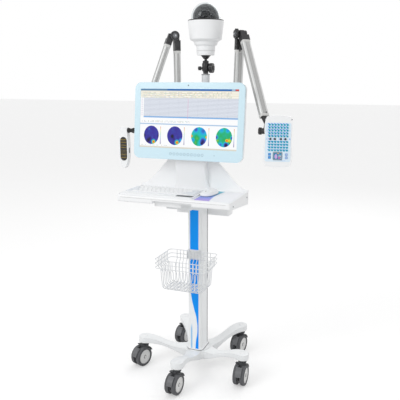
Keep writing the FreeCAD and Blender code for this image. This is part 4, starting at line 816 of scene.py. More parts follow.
@dataclass
class Keyboard:
    """Compact keyboard: caps in six rows over a well whose grey is painted shade between the keys, a palm
    rest, a slot darkened with painted shade, and status lamps.
    """

    left: float = -262.0
    front: float = -306.0
    width: float = 350.0
    seat: float = 950.0
    unit: float = 22.0
    pitch: float = 21.5
    cap_depth: float = 17.2
    rows: tuple[tuple[float, ...], ...] = (
        (1.25, 1.25, 1.25, 6.25, 1.25, 1.25, 1.25, 1.25),
        (2.25, *[1.0] * 10, 2.75),
        (1.75, *[1.0] * 11, 2.25),
        (1.5, *[1.0] * 12, 1.5),
        (*[1.0] * 13, 2.0),
        (1.0, 0.5, *[0.9] * 15),
    )

    def build(self) -> None:
        """Builds the caps and the case details."""
        masters: dict[float, bpy.types.Object] = {}
        caps = []
        shaded = []
        start = self.left + 10
        for row, widths in enumerate(self.rows):
            middle = self.front + 46 + row * self.pitch + (self.pitch - 4) / 2
            reach = start
            for index, width in enumerate(widths):
                if width not in masters:
                    masters[width] = self.cap(width)
                spot = Vector((reach + width * self.unit / 2, middle, self.seat))
                cap = copied(masters[width], "cap", Matrix.Translation(spot * MM))
                outer = index in (0, len(widths) - 1) and row < 5
                (shaded if outer else caps).append(cap)
                reach += width * self.unit
        for master in masters.values():
            bpy.data.objects.remove(master)
        fitted(joined("keyboard_caps", caps), "frame", KEY_WHITE)
        fitted(joined("keyboard_side_caps", shaded), "frame", KEY_PALE_GREY)
        # Grey sheet under the keycaps: painted shade between the keys.
        well = block("keyboard_well", (self.left + self.width / 2, self.front + 46 + 3 * self.pitch - 2,
                                       self.seat - 1.9),
                     (self.width - 14, 6 * self.pitch + 4, 0.5), 0.1, 1)
        fitted(well, "frame", KEY_GAP_SHADE_GREY)
        # Dark sheet over the slot's opening: painted shade.
        slot = block("keyboard_slot_shade", (self.left + self.width - 44, self.front + 28, self.seat - 1.9),
                     (78, 27, 0.9), 0.3, 2)
        fitted(slot, "frame", SOFT_GREY)
        lamps = [disc("lamp", (self.left + self.width - 60 + step * 12, self.front + 182, self.seat - 1.8),
                      1.4, 0.6, Axis.Z, 0, 16)
                 for step in range(3)]
        fitted(joined("keyboard_lamps", lamps), "frame", ICON_BLUE)
        rest = block("keyboard_palm_edge", (self.left + self.width / 2, self.front + 3, self.seat - 2.4),
                     (self.width - 20, 4, 1.6), 0.7, 2)
        fitted(rest, "frame", WHITE_SHELL)

    def cap(self, width: float) -> bpy.types.Object:
        """Makes a keycap that many units wide, standing on the origin, with a smaller, dished top."""
        size = (width * self.unit - 2.6, self.cap_depth, 2.2)
        piece = block("cap_master", (0, 0, size[2] / 2), size)
        faces_towards(piece, (0, 0, 1))
        bpy.ops.transform.resize(value=(1 - 2.4 / size[0], 1 - 2.8 / size[1], 1))
        bpy.ops.mesh.inset(thickness=1.4 * MM, depth=0.0)
        bpy.ops.transform.translate(value=(0, 0, -0.35 * MM))
        bpy.ops.object.mode_set(mode="OBJECT")
        return piece


@dataclass
class Mouse:
    """Mouse with a full palm and a wheel."""

    spot: tuple[float, float, float] = (124.5, -183.0, 942.6)
    turn: float = -8.0
    half: tuple[float, float, float] = (28.0, 48.0, 24.0)

    def build(self) -> None:
        """Builds the shell and the wheel."""
        place = frame_at(self.spot, (Axis.Z, self.turn))
        shell = self.shell()
        seated(shell, place)
        fitted(shell, "mouse_body", MOUSE_SHELL, 60)
        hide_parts("mouse")
        wheel = ring("mouse_wheel", (0, 0, 0), 5.5, 2.0, Axis.X)
        seated(wheel, place @ Matrix.Translation(Vector((0, -31, 16.0)) * MM))
        fitted(wheel, "mouse_body", GROOVE_SHADE_AND_TRIM_GREY)

    def shell(self) -> bpy.types.Object:
        """Makes the rounded shell, flat underneath and higher at the palm."""
        clear()
        bpy.ops.mesh.primitive_cube_add(size=2.0)
        shell = bpy.context.object
        shell.name = "mouse_shell"
        bpy.ops.object.mode_set(mode="EDIT")
        bpy.ops.mesh.select_all(action="SELECT")
        bpy.ops.mesh.subdivide(number_cuts=7)
        bpy.ops.transform.tosphere(value=0.82)
        bpy.ops.transform.resize(value=[number * MM for number in self.half])
        bpy.ops.mesh.bisect(plane_co=(0, 0, 0), plane_no=(0, 0, -1), clear_outer=True, use_fill=True)
        bpy.ops.object.mode_set(mode="OBJECT")
        for vertex in shell.data.vertices:
            reach = vertex.co.y / (self.half[1] * MM)
            vertex.co.z *= 0.86 + 0.14 * math.cos((reach - 0.25) * 1.9)
            waist = 1 - 0.09 * math.exp(-((reach + 0.1) / 0.4) ** 2)
            vertex.co.x *= waist
        low = min(vertex.co.z for vertex in shell.data.vertices)
        for vertex in shell.data.vertices:
            vertex.co.z -= low
        return modified(shell, "SUBSURF", levels=1, render_levels=1)


# ---------------------------------------------------------------- monitor
@dataclass(frozen=True)
class MapSpot:
    """A warm or cold spot on a round map, by its place and radius in shares of the map."""

    across: float
    up: float
    radius: float
    height: float


@dataclass(frozen=True)
class MapFinish:
    """Round colour map: a base level and soft spots, through a cold-to-hot ramp."""

    name: str
    base: float
    spots: tuple[MapSpot, ...]

    def make(self) -> bpy.types.Material:
        """Builds the material on the map's own UV."""
        graph = Graph(self.name)
        level: object = graph.spread(graph.noise(4, 1, graph.surface), 0.3, 0.7, self.base - 0.02,
                                     self.base + 0.02)
        for spot in self.spots:
            centred = graph.mapped(graph.surface, (-spot.across, -spot.up, 0))
            length = graph.nodes.new("ShaderNodeVectorMath")
            length.operation = "LENGTH"
            graph.put(length, 0, centred)
            weight = graph.spread(length.outputs["Value"], 0.0, spot.radius, spot.height, 0.0, smooth=True)
            level = graph.math("ADD", level, weight)
        stops = [(0.0, tint("#02010c")), (0.12, tint("#120a3c")), (0.24, tint("#33289a")),
                 (0.36, tint("#2f63bd")),
                 (0.46, tint("#04a4e8")), (0.55, tint("#06bfbd")), (0.64, tint("#12ae57")),
                 (0.76, tint("#9ac43a")),
                 (0.84, tint("#f5dc32")), (0.92, tint("#f8902a")), (1.0, tint("#f03c1e"))]
        graph.set(Base_Color=UNLIT, Emission_Color=graph.ramp(level, stops), Emission_Strength=0.97,
                  Roughness=0.4, Specular_IOR_Level=0.1)
        return graph.material


@dataclass(frozen=True)
class ScaleFinish:
    """Upright colour scale from cold to hot, faded towards white."""

    name: str

    def make(self) -> bpy.types.Material:
        """Builds the material on the strip's own UV."""
        graph = Graph(self.name)
        rise = graph.parts(graph.surface)[1]
        stops = [(0.0, tint("#4a3f86")), (0.2, tint("#9d94c6")), (0.42, tint("#a9cfe2")),
                 (0.6, tint("#b4e0c0")),
                 (0.78, tint("#ece6b0")), (0.9, tint("#eebf98")), (1.0, tint("#dc7f6c"))]
        graph.set(Base_Color=UNLIT, Emission_Color=graph.ramp(rise, stops), Emission_Strength=0.95)
        return graph.material


@dataclass(frozen=True)
class RecordingFinish:
    """Lit recording page: title bar, tool rows, a field of traces, bands and a cursor line."""

    name: str

    def make(self) -> bpy.types.Material:
        """Builds the material on the page's own UV, from the top row down."""
        graph = Graph(self.name)
        across, rise, _ = graph.parts(graph.surface)
        down = graph.math("SUBTRACT", 1.0, rise)

        def within(value: object, low: float, high: float) -> bpy.types.NodeSocket:
            """Gives one between two limits."""
            over = graph.math("GREATER_THAN", value, low)
            return graph.math("MULTIPLY", over, graph.math("LESS_THAN", value, high))

        def both(first: object, second: object) -> bpy.types.NodeSocket:
            """Gives the product of two masks."""
            return graph.math("MULTIPLY", first, second)

        colour: object = tint("#fcfdfe")
        colour = graph.mix(within(down, 0.03, 0.148), colour, tint("#ece6d2"))
        for low, high in ((0.048, 0.066), (0.082, 0.1), (0.118, 0.136)):
            colour = graph.mix(within(down, low, high), colour, tint("#faf7ec"))
        cell = graph.joined(graph.math("FLOOR", graph.math("MULTIPLY", across, 74.0)),
                            graph.math("FLOOR", graph.math("MULTIPLY", down, 60.0)))
        speck = graph.nodes.new("ShaderNodeTexWhiteNoise")
        speck.noise_dimensions = "2D"
        graph.put(speck, "Vector", cell)
        in_cell = both(within(graph.math("FRACT", graph.math("MULTIPLY", across, 74.0)), 0.2, 0.8),
                       within(graph.math("FRACT", graph.math("MULTIPLY", down, 60.0)), 0.2, 0.85))
        shown = both(in_cell, graph.math("GREATER_THAN", speck.outputs["Value"], 0.42))
        rows = graph.math("MAXIMUM", both(within(down, 0.05, 0.15), within(across, 0.01, 0.93)),
                          both(within(down, 0.533, 0.567), within(across, 0.02, 0.52)))
        rows = graph.math("MAXIMUM", rows, both(within(down, 0.95, 0.967), within(across, 0.01, 0.33)))
        icons = both(shown, rows)
        tones = graph.ramp(speck.outputs["Value"], [(0.42, tint("#7f9cc4")), (0.55, tint("#a5a79c")),
                                                    (0.68, tint("#58b884")), (0.8, tint("#c9a271")),
                                                    (0.9, tint("#6fb4dc")), (1.0, tint("#b88484"))])
        colour = graph.mix(graph.math("MULTIPLY", icons, 0.65), colour, tones)
        field = both(within(down, 0.152, 0.465), graph.math("GREATER_THAN", across, 0.034))
        colour = graph.mix(field, colour, tint("#e6ebf5"))
        lines = graph.math("MULTIPLY", down, 47.0)
        row = graph.math("FLOOR", lines)
        course = graph.joined(graph.math("MULTIPLY", across, 120.0), graph.math("MULTIPLY", row, 7.3))
        wave = graph.spread(graph.noise(1.0, 4, course), 0.25, 0.75, -0.16, 0.16)
        offset = graph.math("SUBTRACT", graph.math("FRACT", lines), graph.math("ADD", wave, 0.5))
        trace = graph.spread(graph.math("ABSOLUTE", offset), 0.06, 0.18, 1.0, 0.0)
        colour = graph.mix(graph.math("MULTIPLY", both(trace, field), 0.75), colour, tint("#7c8494"))
        ticks = graph.spread(graph.math("ABSOLUTE", graph.math("SUBTRACT", graph.math("FRACT", graph.math(
            "MULTIPLY", across, 10.0)), 0.5)), 0.484, 0.5)
        colour = graph.mix(graph.math("MULTIPLY", both(ticks, field), 0.35), colour, tint("#9aa2ba"))
        labels = both(within(across, 0.008, 0.024), within(down, 0.155, 0.465))
        labels = both(labels, within(graph.math("FRACT", graph.math("MULTIPLY", down, 31.0)), 0.3, 0.7))
        colour = graph.mix(graph.math("MULTIPLY", labels, 0.5), colour, tint("#b493c4"))
        band = both(within(down, 0.465, 0.487), graph.math("GREATER_THAN", across, 0.034))
        colour = graph.mix(band, colour, tint("#7fb0e4"))
        cursor = both(within(across, 0.4988, 0.5012), within(down, 0.16, 0.5))
        colour = graph.mix(cursor, colour, tint("#e58fbc"))
        colour = graph.mix(within(down, 0.584, 0.603), colour, tint("#a9c6e4"))
        colour = graph.mix(within(down, 0.976, 1.01), colour, tint("#dcd8ca"))
        colour = graph.mix(both(within(down, -0.1, 0.03), graph.math("LESS_THAN", across, 0.28)), colour,
                           tint("#5c86ad"))
        colour = graph.mix(both(within(down, -0.1, 0.03), graph.math("GREATER_THAN", across, 0.28)), colour,
                           tint("#1768b4"))
        colour = graph.mix(both(within(down, -0.1, 0.026), graph.math("GREATER_THAN", across, 0.965)),
                           colour,
                           tint("#d5473a"))
        colour = graph.mix(both(within(down, -0.1, 0.026), within(across, 0.93, 0.962)), colour,
                           tint("#a8c3da"))
        graph.set(Base_Color=UNLIT, Emission_Color=colour, Emission_Strength=0.97, Roughness=0.4,
                  Specular_IOR_Level=0.1)
        return graph.material


@dataclass
class Monitor:
    """Wide monitor: lit page with four round maps, camera eye, touch marks, vents and fixings behind."""

    centre: tuple[float, float, float] = (0.0, -116.3, 1258.95)
    tilt: float = -6.1
    screen: tuple[float, float] = (476.0, 268.0)
    rise: float = 11.0
    glass: float = -17.0
    face: float = -20.0

    def build(self) -> None:
        """Builds the page, the maps and the small parts of the bezel and the back."""
        place = frame_at(self.centre, (Axis.X, self.tilt))
        page = self.sheet("screen_page", (0, self.rise), self.screen, self.glass - 0.15)
        seated(page, place)
        fitted(page, "monitor", FINISHES.get(RecordingFinish("recording_page")))
        cold = (MapSpot(0.3, 0.2, 0.2, -0.16), MapSpot(0.42, 0.33, 0.14, -0.1),
                MapSpot(0.02, 0.46, 0.14, -0.14),
                MapSpot(0.98, 0.46, 0.12, -0.12), MapSpot(0.66, 0.13, 0.2, 0.8),
                MapSpot(0.34, 0.82, 0.08, 0.12))
        dusk = (MapSpot(0.34, 0.47, 0.16, -0.22), MapSpot(0.44, 0.34, 0.13, -0.08),
                MapSpot(0.66, 0.14, 0.21, 0.8),
                MapSpot(0.9, 0.28, 0.16, 0.24))
        sea = (MapSpot(0.3, 0.86, 0.22, -0.26), MapSpot(0.76, 0.8, 0.3, -0.2),
               MapSpot(0.14, 0.32, 0.14, -0.18),
               MapSpot(0.02, 0.52, 0.12, 0.5), MapSpot(0.98, 0.48, 0.12, 0.42),
               MapSpot(0.34, 0.4, 0.3, 0.12),
               MapSpot(0.76, 0.24, 0.3, -0.42), MapSpot(0.68, 0.13, 0.12, -0.24),
               MapSpot(0.3, 0.14, 0.2, 0.1))
        field = (MapSpot(0.34, 0.88, 0.22, -0.16), MapSpot(0.72, 0.86, 0.18, -0.2),
                 MapSpot(0.02, 0.5, 0.16, -0.42),
                 MapSpot(0.98, 0.48, 0.14, -0.42), MapSpot(0.68, 0.34, 0.14, 0.42),
                 MapSpot(0.85, 0.36, 0.18, 0.2),
                 MapSpot(0.3, 0.12, 0.2, -0.26), MapSpot(0.64, 0.1, 0.24, -0.56),
                 MapSpot(0.12, 0.34, 0.1, 0.14))
        centres = (-179.0, -60.4, 58.3, 177.0)
        for index, (spot, base, spots) in enumerate(zip(centres, (0.25, 0.25, 0.56, 0.62),
                                                        (cold, dusk, sea, field))):
            plate = self.round_map(f"screen_map_{index + 1}", (spot, -65.5), (38.0, 42.5))
            seated(plate, place)
            fitted(plate, "monitor",
                   FINISHES.get(MapFinish(f"map_{index + 1}", base, spots)))
        scales = [self.sheet("scale", (spot + 46.5, -66.0), (3.4, 80), self.glass - 0.3)
                  for spot in centres]
        strip = joined("screen_scales", scales)
        seated(strip, place)
        fitted(strip, "monitor", FINISHES.get(ScaleFinish("colour_scale")))
        self.bezel_marks(place)
        self.back(place)

    def sheet(self, name: str, middle: Point, size: Point, depth: float) -> bpy.types.Object:
        """Makes a flat sheet that looks forward, with its own UV."""
        clear()
        bpy.ops.mesh.primitive_plane_add(size=1.0, rotation=(math.pi / 2, 0, 0),
                                         location=(middle[0] * MM, depth * MM, middle[1] * MM))
        piece = bpy.context.object
        piece.name = name
        piece.scale = (size[0] * MM, size[1] * MM, 1)
        bpy.ops.object.transform_apply(location=True, rotation=True, scale=True)
        return piece

    def round_map(self, name: str, middle: Point, radii: Point) -> bpy.types.Object:
        """Makes a round map with a nearly egg-shaped edge and its own UV."""
        clear()
        bpy.ops.mesh.primitive_circle_add(vertices=64, radius=1.0, fill_type="NGON",
                                          rotation=(math.pi / 2, 0, 0),
                                          location=(middle[0] * MM, (self.glass - 0.3) * MM,
                                                    middle[1] * MM))
        piece = bpy.context.object
        piece.name = name
        piece.scale = (radii[0] * MM, radii[1] * MM, 1)
        bpy.ops.object.transform_apply(location=True, rotation=True, scale=True)
        return piece

    def bezel_marks(self, place: Matrix) -> None:
        """Adds the camera eye, the ring marks of the touch keys and the power lamp."""
        eye = disc("monitor_camera_eye", (-0.5, self.face - 0.2, 161.5), 2.6, 0.8, Axis.Y, 0.25, 24)
        seated(eye, place)
        fitted(eye, "monitor", BLACK_GLOSS)
        marks = []
        for index in range(10):
            spot = -78 + index * 17.3
            marks.append(ring("mark", (spot, self.face - 0.05, -148.6), 5.6, 0.75, Axis.Y))
            if index % 3 == 0:
                marks.append(block("bar", (spot, self.face - 0.1, -148.6), (4.5, 0.4, 0.8)))
            else:
                marks.append(block("bar", (spot, self.face - 0.1, -148.6), (0.8, 0.4, 4.2)))
        touch = joined("monitor_touch_marks", marks)
        seated(touch, place)
        fitted(touch, "monitor", MARK_GREY)
        lamp = disc("monitor_power_lamp", (135, self.face - 0.1, -147.8), 2.2, 0.6, Axis.Y, 0.2, 20)
        seated(lamp, place)
        fitted(lamp, "monitor", MARK_GREY)

    def back(self, place: Matrix) -> None:
        """Adds vent slots, fixing screws and a socket row behind."""
        # Dark sheets in the vent slots' openings: painted shade.
        slots = [block("slot", (side * (70 + step * 9), 24.1, 78), (3.2, 0.7, 34), 0.3, 2)
                 for side in (-1, 1) for step in range(8)]
        vents = joined("monitor_vents", slots)
        seated(vents, place)
        fitted(vents, "monitor", SOFT_GREY)
        screws = [cap_screw("screw", (x, 24, z), 3.4, Axis.Y, 1) for x in (-150, 150) for z in (-92, 92)]
        screws += [cap_screw("screw", (x, 24, z), 2.6, Axis.Y, 1) for x in (-50, 50) for z in (-50, 50)]
        heads = joined("monitor_back_screws", screws)
        seated(heads, place)
        fitted(heads, "monitor", PLAIN_STEEL)
        sockets = [block("socket", (-110 + step * 22, 24.2, -88), (15, 0.8, 8), 0.3, 2)
                   for step in range(6)]
        row = joined("monitor_sockets", sockets)
        seated(row, place)
        fitted(row, "monitor", BLACK_PLASTIC)


# ---------------------------------------------------------------- dome camera
@dataclass
class DomeCamera:
    """Dome camera on its ball head: seams, lens, lamp ring and the head's knobs. Sizes in millimetres."""

    axis_y: float = 100.0
    cup_bottom: float = 1559.0
    cup_rim: float = 1716.0
    eye: float = 1734.0
    lens_tilt: float = -19.3
    shroud_radius: float = 63.0

    def build(self) -> None:
        """Builds the pieces of the camera and its head."""
        seams = [ring("seam", (0, self.axis_y, self.cup_bottom + 21), 44.2, 0.6, Axis.Z),
                 ring("seam", (0, self.axis_y, self.cup_bottom + 63.5), 58.6, 0.5, Axis.Z)]
        fitted(joined("camera_seams", seams), "camera", GROOVE_SHADE_AND_TRIM_GREY, 60)
        tabs = [seated(block("tab", (0, -84, self.cup_rim + 2.6), (9, 4.6, 4.4), 0.8, 2),
                       frame_at((0, self.axis_y, 0), (Axis.Z, angle))) for angle in (20, 140, 260)]
        fitted(joined("camera_dome_tabs", tabs), "camera", BLACK_PLASTIC)
        place = frame_at((0, self.axis_y, self.eye), (Axis.X, self.lens_tilt))
        glass = disc("camera_lens_glass", (0, -34.4, 0), 11.5, 1.6, Axis.Y, 0.7)
        fitted(seated(glass, place), "eye", LENS_BLUE, 60)
        rim = [ring("rim", (0, -34.2, 0), 13.6, 1.0, Axis.Y), ring("rim", (0, -30, 0), 17.1, 0.8, Axis.Y)]
        fitted(seated(joined("camera_lens_rims", rim), place), "eye", PLAIN_STEEL, 60)
        lamps = []
        for step in range(12):
            angle = math.radians(step * 30)
            spot = (math.cos(angle) * 22.5, -17.8, math.sin(angle) * 22.5)
            lamps.append(disc("lamp", spot, 2.3, 2.4, Axis.Y, 0.5, 16))
        plate = disc("plate", (0, -16.6, 0), 26, 2.2, Axis.Y, 0.6, 48)
        fitted(seated(joined("camera_lamp_ring", lamps), place), "eye", LENS_BLUE, 60)
        fitted(seated(plate, place), "eye", BLACK_PLASTIC, 60)
        self.shroud()
        self.head()

    def shroud(self) -> None:
        """Adds the smoked inner shell that hides the camera under the clear dome."""
        clear()
        bpy.ops.mesh.primitive_uv_sphere_add(segments=64, ring_count=32, radius=self.shroud_radius * MM,
                                             location=(0, self.axis_y * MM, (self.cup_rim + 16) * MM))
        shell = bpy.context.object
        shell.name = "camera_inner_shroud"
        bpy.ops.object.transform_apply(location=True)
        bpy.ops.object.mode_set(mode="EDIT")
        bpy.ops.mesh.select_all(action="SELECT")
        bpy.ops.mesh.bisect(plane_co=(0, 0, (self.cup_rim + 1) * MM), plane_no=(0, 0, -1), clear_outer=True)
        bpy.ops.object.mode_set(mode="OBJECT")
        fitted(shell, "camera", SMOKED, 60)

    def head(self) -> None:
        """Builds the rounded head on the mast: neck, collar, lock boss and small pan knob."""
        parts = [
            disc("neck", (0, self.axis_y, 1478.2), 12.5, 11.5, Axis.Z, 1.2),
            disc("barrel", (0, self.axis_y, 1504.5), 17.8, 45, Axis.Z, 8.5, 64),
            disc("collar", (0, self.axis_y, 1529.0), 14.5, 9.6, Axis.Z, 1.5, 48),
            disc("boss", (16, self.axis_y, 1500), 9.5, 8, Axis.X, 1.0),
            disc("stalk", (-18, self.axis_y, 1499), 5, 12, Axis.X, 0.8),
            fluted("pan_knob", (-30.2, self.axis_y, 1499), 9.5, 13, Axis.X, 7, 3.0),
        ]
        body = joined("ball_head_shape", parts)
        fitted(body, "ball_head", BLACK_PLASTIC, 50)
        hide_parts("ball_head_body")
        band = ring("head_band", (0, self.axis_y, 1484.0), 12.8, 0.7, Axis.Z)
        fitted(band, "ball_head", PLAIN_STEEL, 60)
        cap = disc("lock_knob_cap", (38.6, self.axis_y, 1500), 12, 2.4, Axis.X, 0.9)
        dished(cap, (1, 0, 0), 3.0, -0.8)
        fitted(cap, "lock_knob", BLACK_FITTING, 60)
        collar = ring("mast_collar", (0, self.axis_y, 1469), 19.7, 1.4, Axis.Z)
        fitted(collar, "frame", BLACK_PLASTIC, 60)


# ---------------------------------------------------------------- arms
class Side(Enum):
    """The two sides of the trolley, by the sign of X."""

    LEFT = -1
    RIGHT = 1


@dataclass(frozen=True)
class ArmPose:
    """How an arm stands at rest, in millimetres and degrees."""

    lean: float
    heading: float
    spread: float
    forearm: float
    knob_side: int


ARM_POSES = {
    Side.LEFT: ArmPose(0.9, -141.7, 21.1, 430.0, 1),
    Side.RIGHT: ArmPose(1.9, -46.5, 34.0, 445.0, -1),
}


@dataclass
class Arm:
    """One jointed arm: channel strips in painted groove shade, end sleeves, bolts, the elbow's knob and the
    boot's ribs.
    """

    side: Side
    socket: tuple[float, float, float] = (150.0, 115.0, 1182.0)
    upright: float = 471.0
    tube: tuple[float, float] = (28.0, 40.0)
    hinge_offset: float = 15.0
    collar_top: float = 38.35
    upper_drop: float = 70.0
    lower_drop: float = 50.0

    @property
    def name(self) -> str:
        """The side's word."""
        return self.side.name.lower()

    @property
    def pose(self) -> ArmPose:
        """How this arm stands."""
        return ARM_POSES[self.side]

    def swing(self) -> Matrix:
        """Gives the upright's frame, with +X towards its forearm."""
        spot = (self.side.value * self.socket[0], self.socket[1], self.socket[2])
        return frame_at(spot, (Axis.Y, self.side.value * self.pose.lean), (Axis.Z, self.pose.heading))

    def elbow(self) -> Matrix:
        """Gives the forearm's frame, with its origin on the hinge and -Z along the tube."""
        return self.swing() @ frame_at((self.hinge_offset, 0, self.upright), (Axis.Y, -self.pose.spread))

    def build(self) -> None:
        """Builds the pieces of the arm."""
        tubes = (
            (f"{self.name}_upright", self.swing(), 0.0, self.collar_top, self.upright - self.upper_drop),
            (f"{self.name}_forearm", self.elbow(), self.hinge_offset, -self.pose.forearm, -self.lower_drop),
        )
        for body, place, shift, low, high in tubes:
            metal = DrawnTube(f"{body}_metal", tint("#d6d7d6"), (place.to_3x3() @ Vector((0, 0, 1))))
            dress(f"{body}_tube", metal)
            self.trim(body, place, shift, low, high)
        self.elbow_parts()
        self.wrist()

    def trim(self, body: str, place: Matrix, shift: float, low: float, high: float) -> None:
        """Adds the channel strips, grey as painted shade so that they look sunk, the darker lines along
        their edges as painted shade, and the end sleeves of one tube.
        """
        width, depth = self.tube
        length = high - low - 26
        middle = (low + high) / 2
        strips = []
        lines = []
        # Strips in mid grey and lines along their edges in darker grey: painted shade of the sunk channels.
        for way in (-1, 1):
            strips.append(block("strip", (shift + way * (width / 2 + 0.05), 0, middle), (0.8, 15, length),
                                0.3, 2))
            strips.append(block("strip", (shift, way * (depth / 2 + 0.05), middle), (9, 0.8, length), 0.3,
                                2))
            for edge in (-8.2, 8.2):
                lines.append(block("line", (shift + way * (width / 2 + 0.1), edge, middle),
                                   (0.8, 0.5, length)))
            for edge in (-5.2, 5.2):
                lines.append(block("line", (shift + edge, way * (depth / 2 + 0.1), middle),
                                   (0.5, 0.8, length)))
        fitted(seated(joined(f"{body}_channel_strips", strips), place), body, GROOVE_SHADE_AND_TRIM_GREY)
        fitted(seated(joined(f"{body}_channel_lines", lines), place), body, PEDAL_GREY)
        sleeves = []
        for spot in (low + 6.5, high - 6.5):
            sleeve = block("sleeve", (shift, 0, spot), (width + 1.6, depth + 1.6, 12), 0, 1)
            Pedestal.round_upright_edges(sleeve, 7.5)
            sleeves.append(rounded(sleeve, 0.8, 2))
        fitted(seated(joined(f"{body}_end_sleeves", sleeves), place), body, SLEEVE_PALE)

    def elbow_parts(self) -> None:
        """Adds the knob, its bolt and the knuckles' screws."""
        knob_side = self.pose.knob_side
        hinge = self.swing() @ frame_at((self.hinge_offset, 0, self.upright))
        reach = self.tube[1] / 2
        if self.side is Side.LEFT:
            knob = disc("left_elbow_dial", (0, knob_side * (reach + 5.6), 0), 22.5, 9.4, Axis.Y, 1.6, 56)
            dished(knob, (0, knob_side, 0), 3.2, -1.2)
            rims = [ring("rim", (0, knob_side * (reach + 10.0), 0), radius, 0.9, Axis.Y)
                    for radius in (13.5, 21.0)]
            fitted(seated(joined("left_elbow_dial_rims", rims), hinge), "left_knob",
                   DIAL_GREY, 60)
        else:
            knob = fluted("right_elbow_lobes", (0, knob_side * (reach + 6.4), 0), 24, 11.5, Axis.Y, 6, 8.0)
        fitted(seated(knob, hinge), f"{self.name}_knob", BLACK_PLASTIC, 50)
        bolt = disc("bolt", (0, knob_side * (reach + 16.2), 0), 5.6, 4.6, Axis.Y, 0.5, 6)
        washer = disc("washer", (0, knob_side * (reach + 13.0), 0), 9.2, 1.6, Axis.Y, 0.3)
        fitted(seated(joined(f"{self.name}_elbow_bolt", [bolt, washer]), hinge), f"{self.name}_upright",
               PLAIN_STEEL, 40)
        seat = disc(f"{self.name}_elbow_washer", (0, -knob_side * (reach + 0.6), 0), 12.5, 1.4, Axis.Y, 0.4)
        nut = disc("nut", (0, -knob_side * (reach + 2.6), 0), 6.6, 4.2, Axis.Y, 0.4, 6)
        fitted(seated(joined(f"{self.name}_elbow_nut", [seat, nut]), hinge), f"{self.name}_upright",
               PLAIN_STEEL, 40)
        parts = (("upright", self.swing(), 0.0, self.upright - self.upper_drop + 12),
                 ("forearm", self.elbow(), self.hinge_offset, -self.lower_drop + 10))
        for part, place, shift, height in parts:
            screws = [cap_screw("screw", (shift, way * reach, height), 3.4, Axis.Y, way) for way in (-1, 1)]
            heads = seated(joined(f"{self.name}_{part}_screws", screws), place)
            fitted(heads, f"{self.name}_{part}", BLACK_PLASTIC)
        socket = self.swing()
        collar = ring(f"{self.name}_swivel_ring", (0, 0, 30.0), 20.2, 1.1, Axis.Z)
        fitted(seated(collar, socket), f"{self.name}_upright", BLACK_FITTING, 60)

    def wrist(self) -> None:
        """Adds the boot's ribs and the wrist's knob."""
        ribs = []
        for step in range(5):
            share = 0.12 + step * 0.19
            radius = 13.5 + (7.0 - 13.5) * share
            ribs.append(ring("rib", (self.hinge_offset, 0, -self.pose.forearm - 32 * share), radius, 1.0,
                             Axis.Z))
        boot = seated(joined(f"{self.name}_boot_ribs", ribs), self.elbow())
        fitted(boot, f"{self.name}_forearm", BLACK_FITTING, 60)
        if self.side is Side.RIGHT:
            joint = Vector(JOINTS["headbox_tilt"]["pos_m"]) / MM
            spot = (joint.x - 19.5, joint.y, joint.z)
            knob = fluted("right_wrist_knob", spot, 16, 12, Axis.X, 6, 5.5)
            fitted(knob, "right_forearm", BLACK_PLASTIC, 50)
            bolt = disc("right_wrist_bolt", (joint.x - 26.4, joint.y, joint.z), 4.5, 2.6, Axis.X, 0.5, 6)
            fitted(bolt, "right_forearm", PLAIN_STEEL, 40)
            face = self.hinge_offset + self.tube[0] / 2
            screw = cap_screw("right_forearm_end_screw", (face + 0.8, 7, 16 - self.pose.forearm), 3.0,
                              Axis.X, 1)
            fitted(seated(screw, self.elbow()), "right_forearm", BLACK_PLASTIC)
            # Small black tab beside the upright tube's corner, dark so that it reads as the shadow gap
            # there: partly a tab, partly painted shade.
            tab = block("right_elbow_tab_and_shadow_gap", (171.2, 97.5, 1587), (5.4, 5.4, 26), 2.0, 3)
            fitted(tab, "right_upright", BLACK_PLASTIC)
        else:
            joint = Vector(JOINTS["stimulator_tilt"]["pos_m"]) / MM
            inner = [ring("rib", (joint.x + reach, joint.y, joint.z), 8.2 + reach * 5 / 16, 0.8, Axis.X)
                     for reach in (2.0, 5.5, 9.0, 12.5, 15.5)]
            fitted(joined("left_wrist_inner_ribs", inner), "left_forearm", BLACK_PLASTIC,
                   60)
            outer = [ring("rib", (joint.x - reach, joint.y, joint.z), 8.2 + reach * 5 / 15.5, 0.8, Axis.X)
                     for reach in (2.0, 5.5, 9.0, 12.5)]
            fitted(joined("left_wrist_outer_ribs", outer), "stimulator", BLACK_PLASTIC, 60)


def fluted(name: str, centre: Point, radius: float, depth: float, axis: Axis, count: int,
           flute: float) -> bpy.types.Object:
    """Makes a round knob with flutes cut along its rim, in millimetres.

    Args:
        name: Name of the piece.
        centre: Middle of the knob.
        radius: Radius over its lobes.
        depth: Length along the axis.
        axis: Axis of the knob.
        count: Number of flutes.
        flute: Radius of a flute.

    Returns:
        The knob with rounded rims.
    """
    knob = disc(name, centre, radius, depth, axis, 0, 72)
    for step in range(count):
        angle = 2 * math.pi * step / count
        across, up = math.cos(angle) * (radius + flute * 0.55), math.sin(angle) * (radius + flute * 0.55)
        shift = {Axis.X: (0, across, up), Axis.Y: (across, 0, up), Axis.Z: (across, up, 0)}[axis]
        cutter = disc("flute", Vector(centre) + Vector(shift), flute, depth * 2, axis, 0, 24)
        take(knob)
        modifier = knob.modifiers.new("flute", "BOOLEAN")
        modifier.object = cutter
        modifier.operation = "DIFFERENCE"
        bpy.ops.object.modifier_apply(modifier=modifier.name)
        bpy.data.objects.remove(cutter)
    return rounded(knob, 1.2, 3)


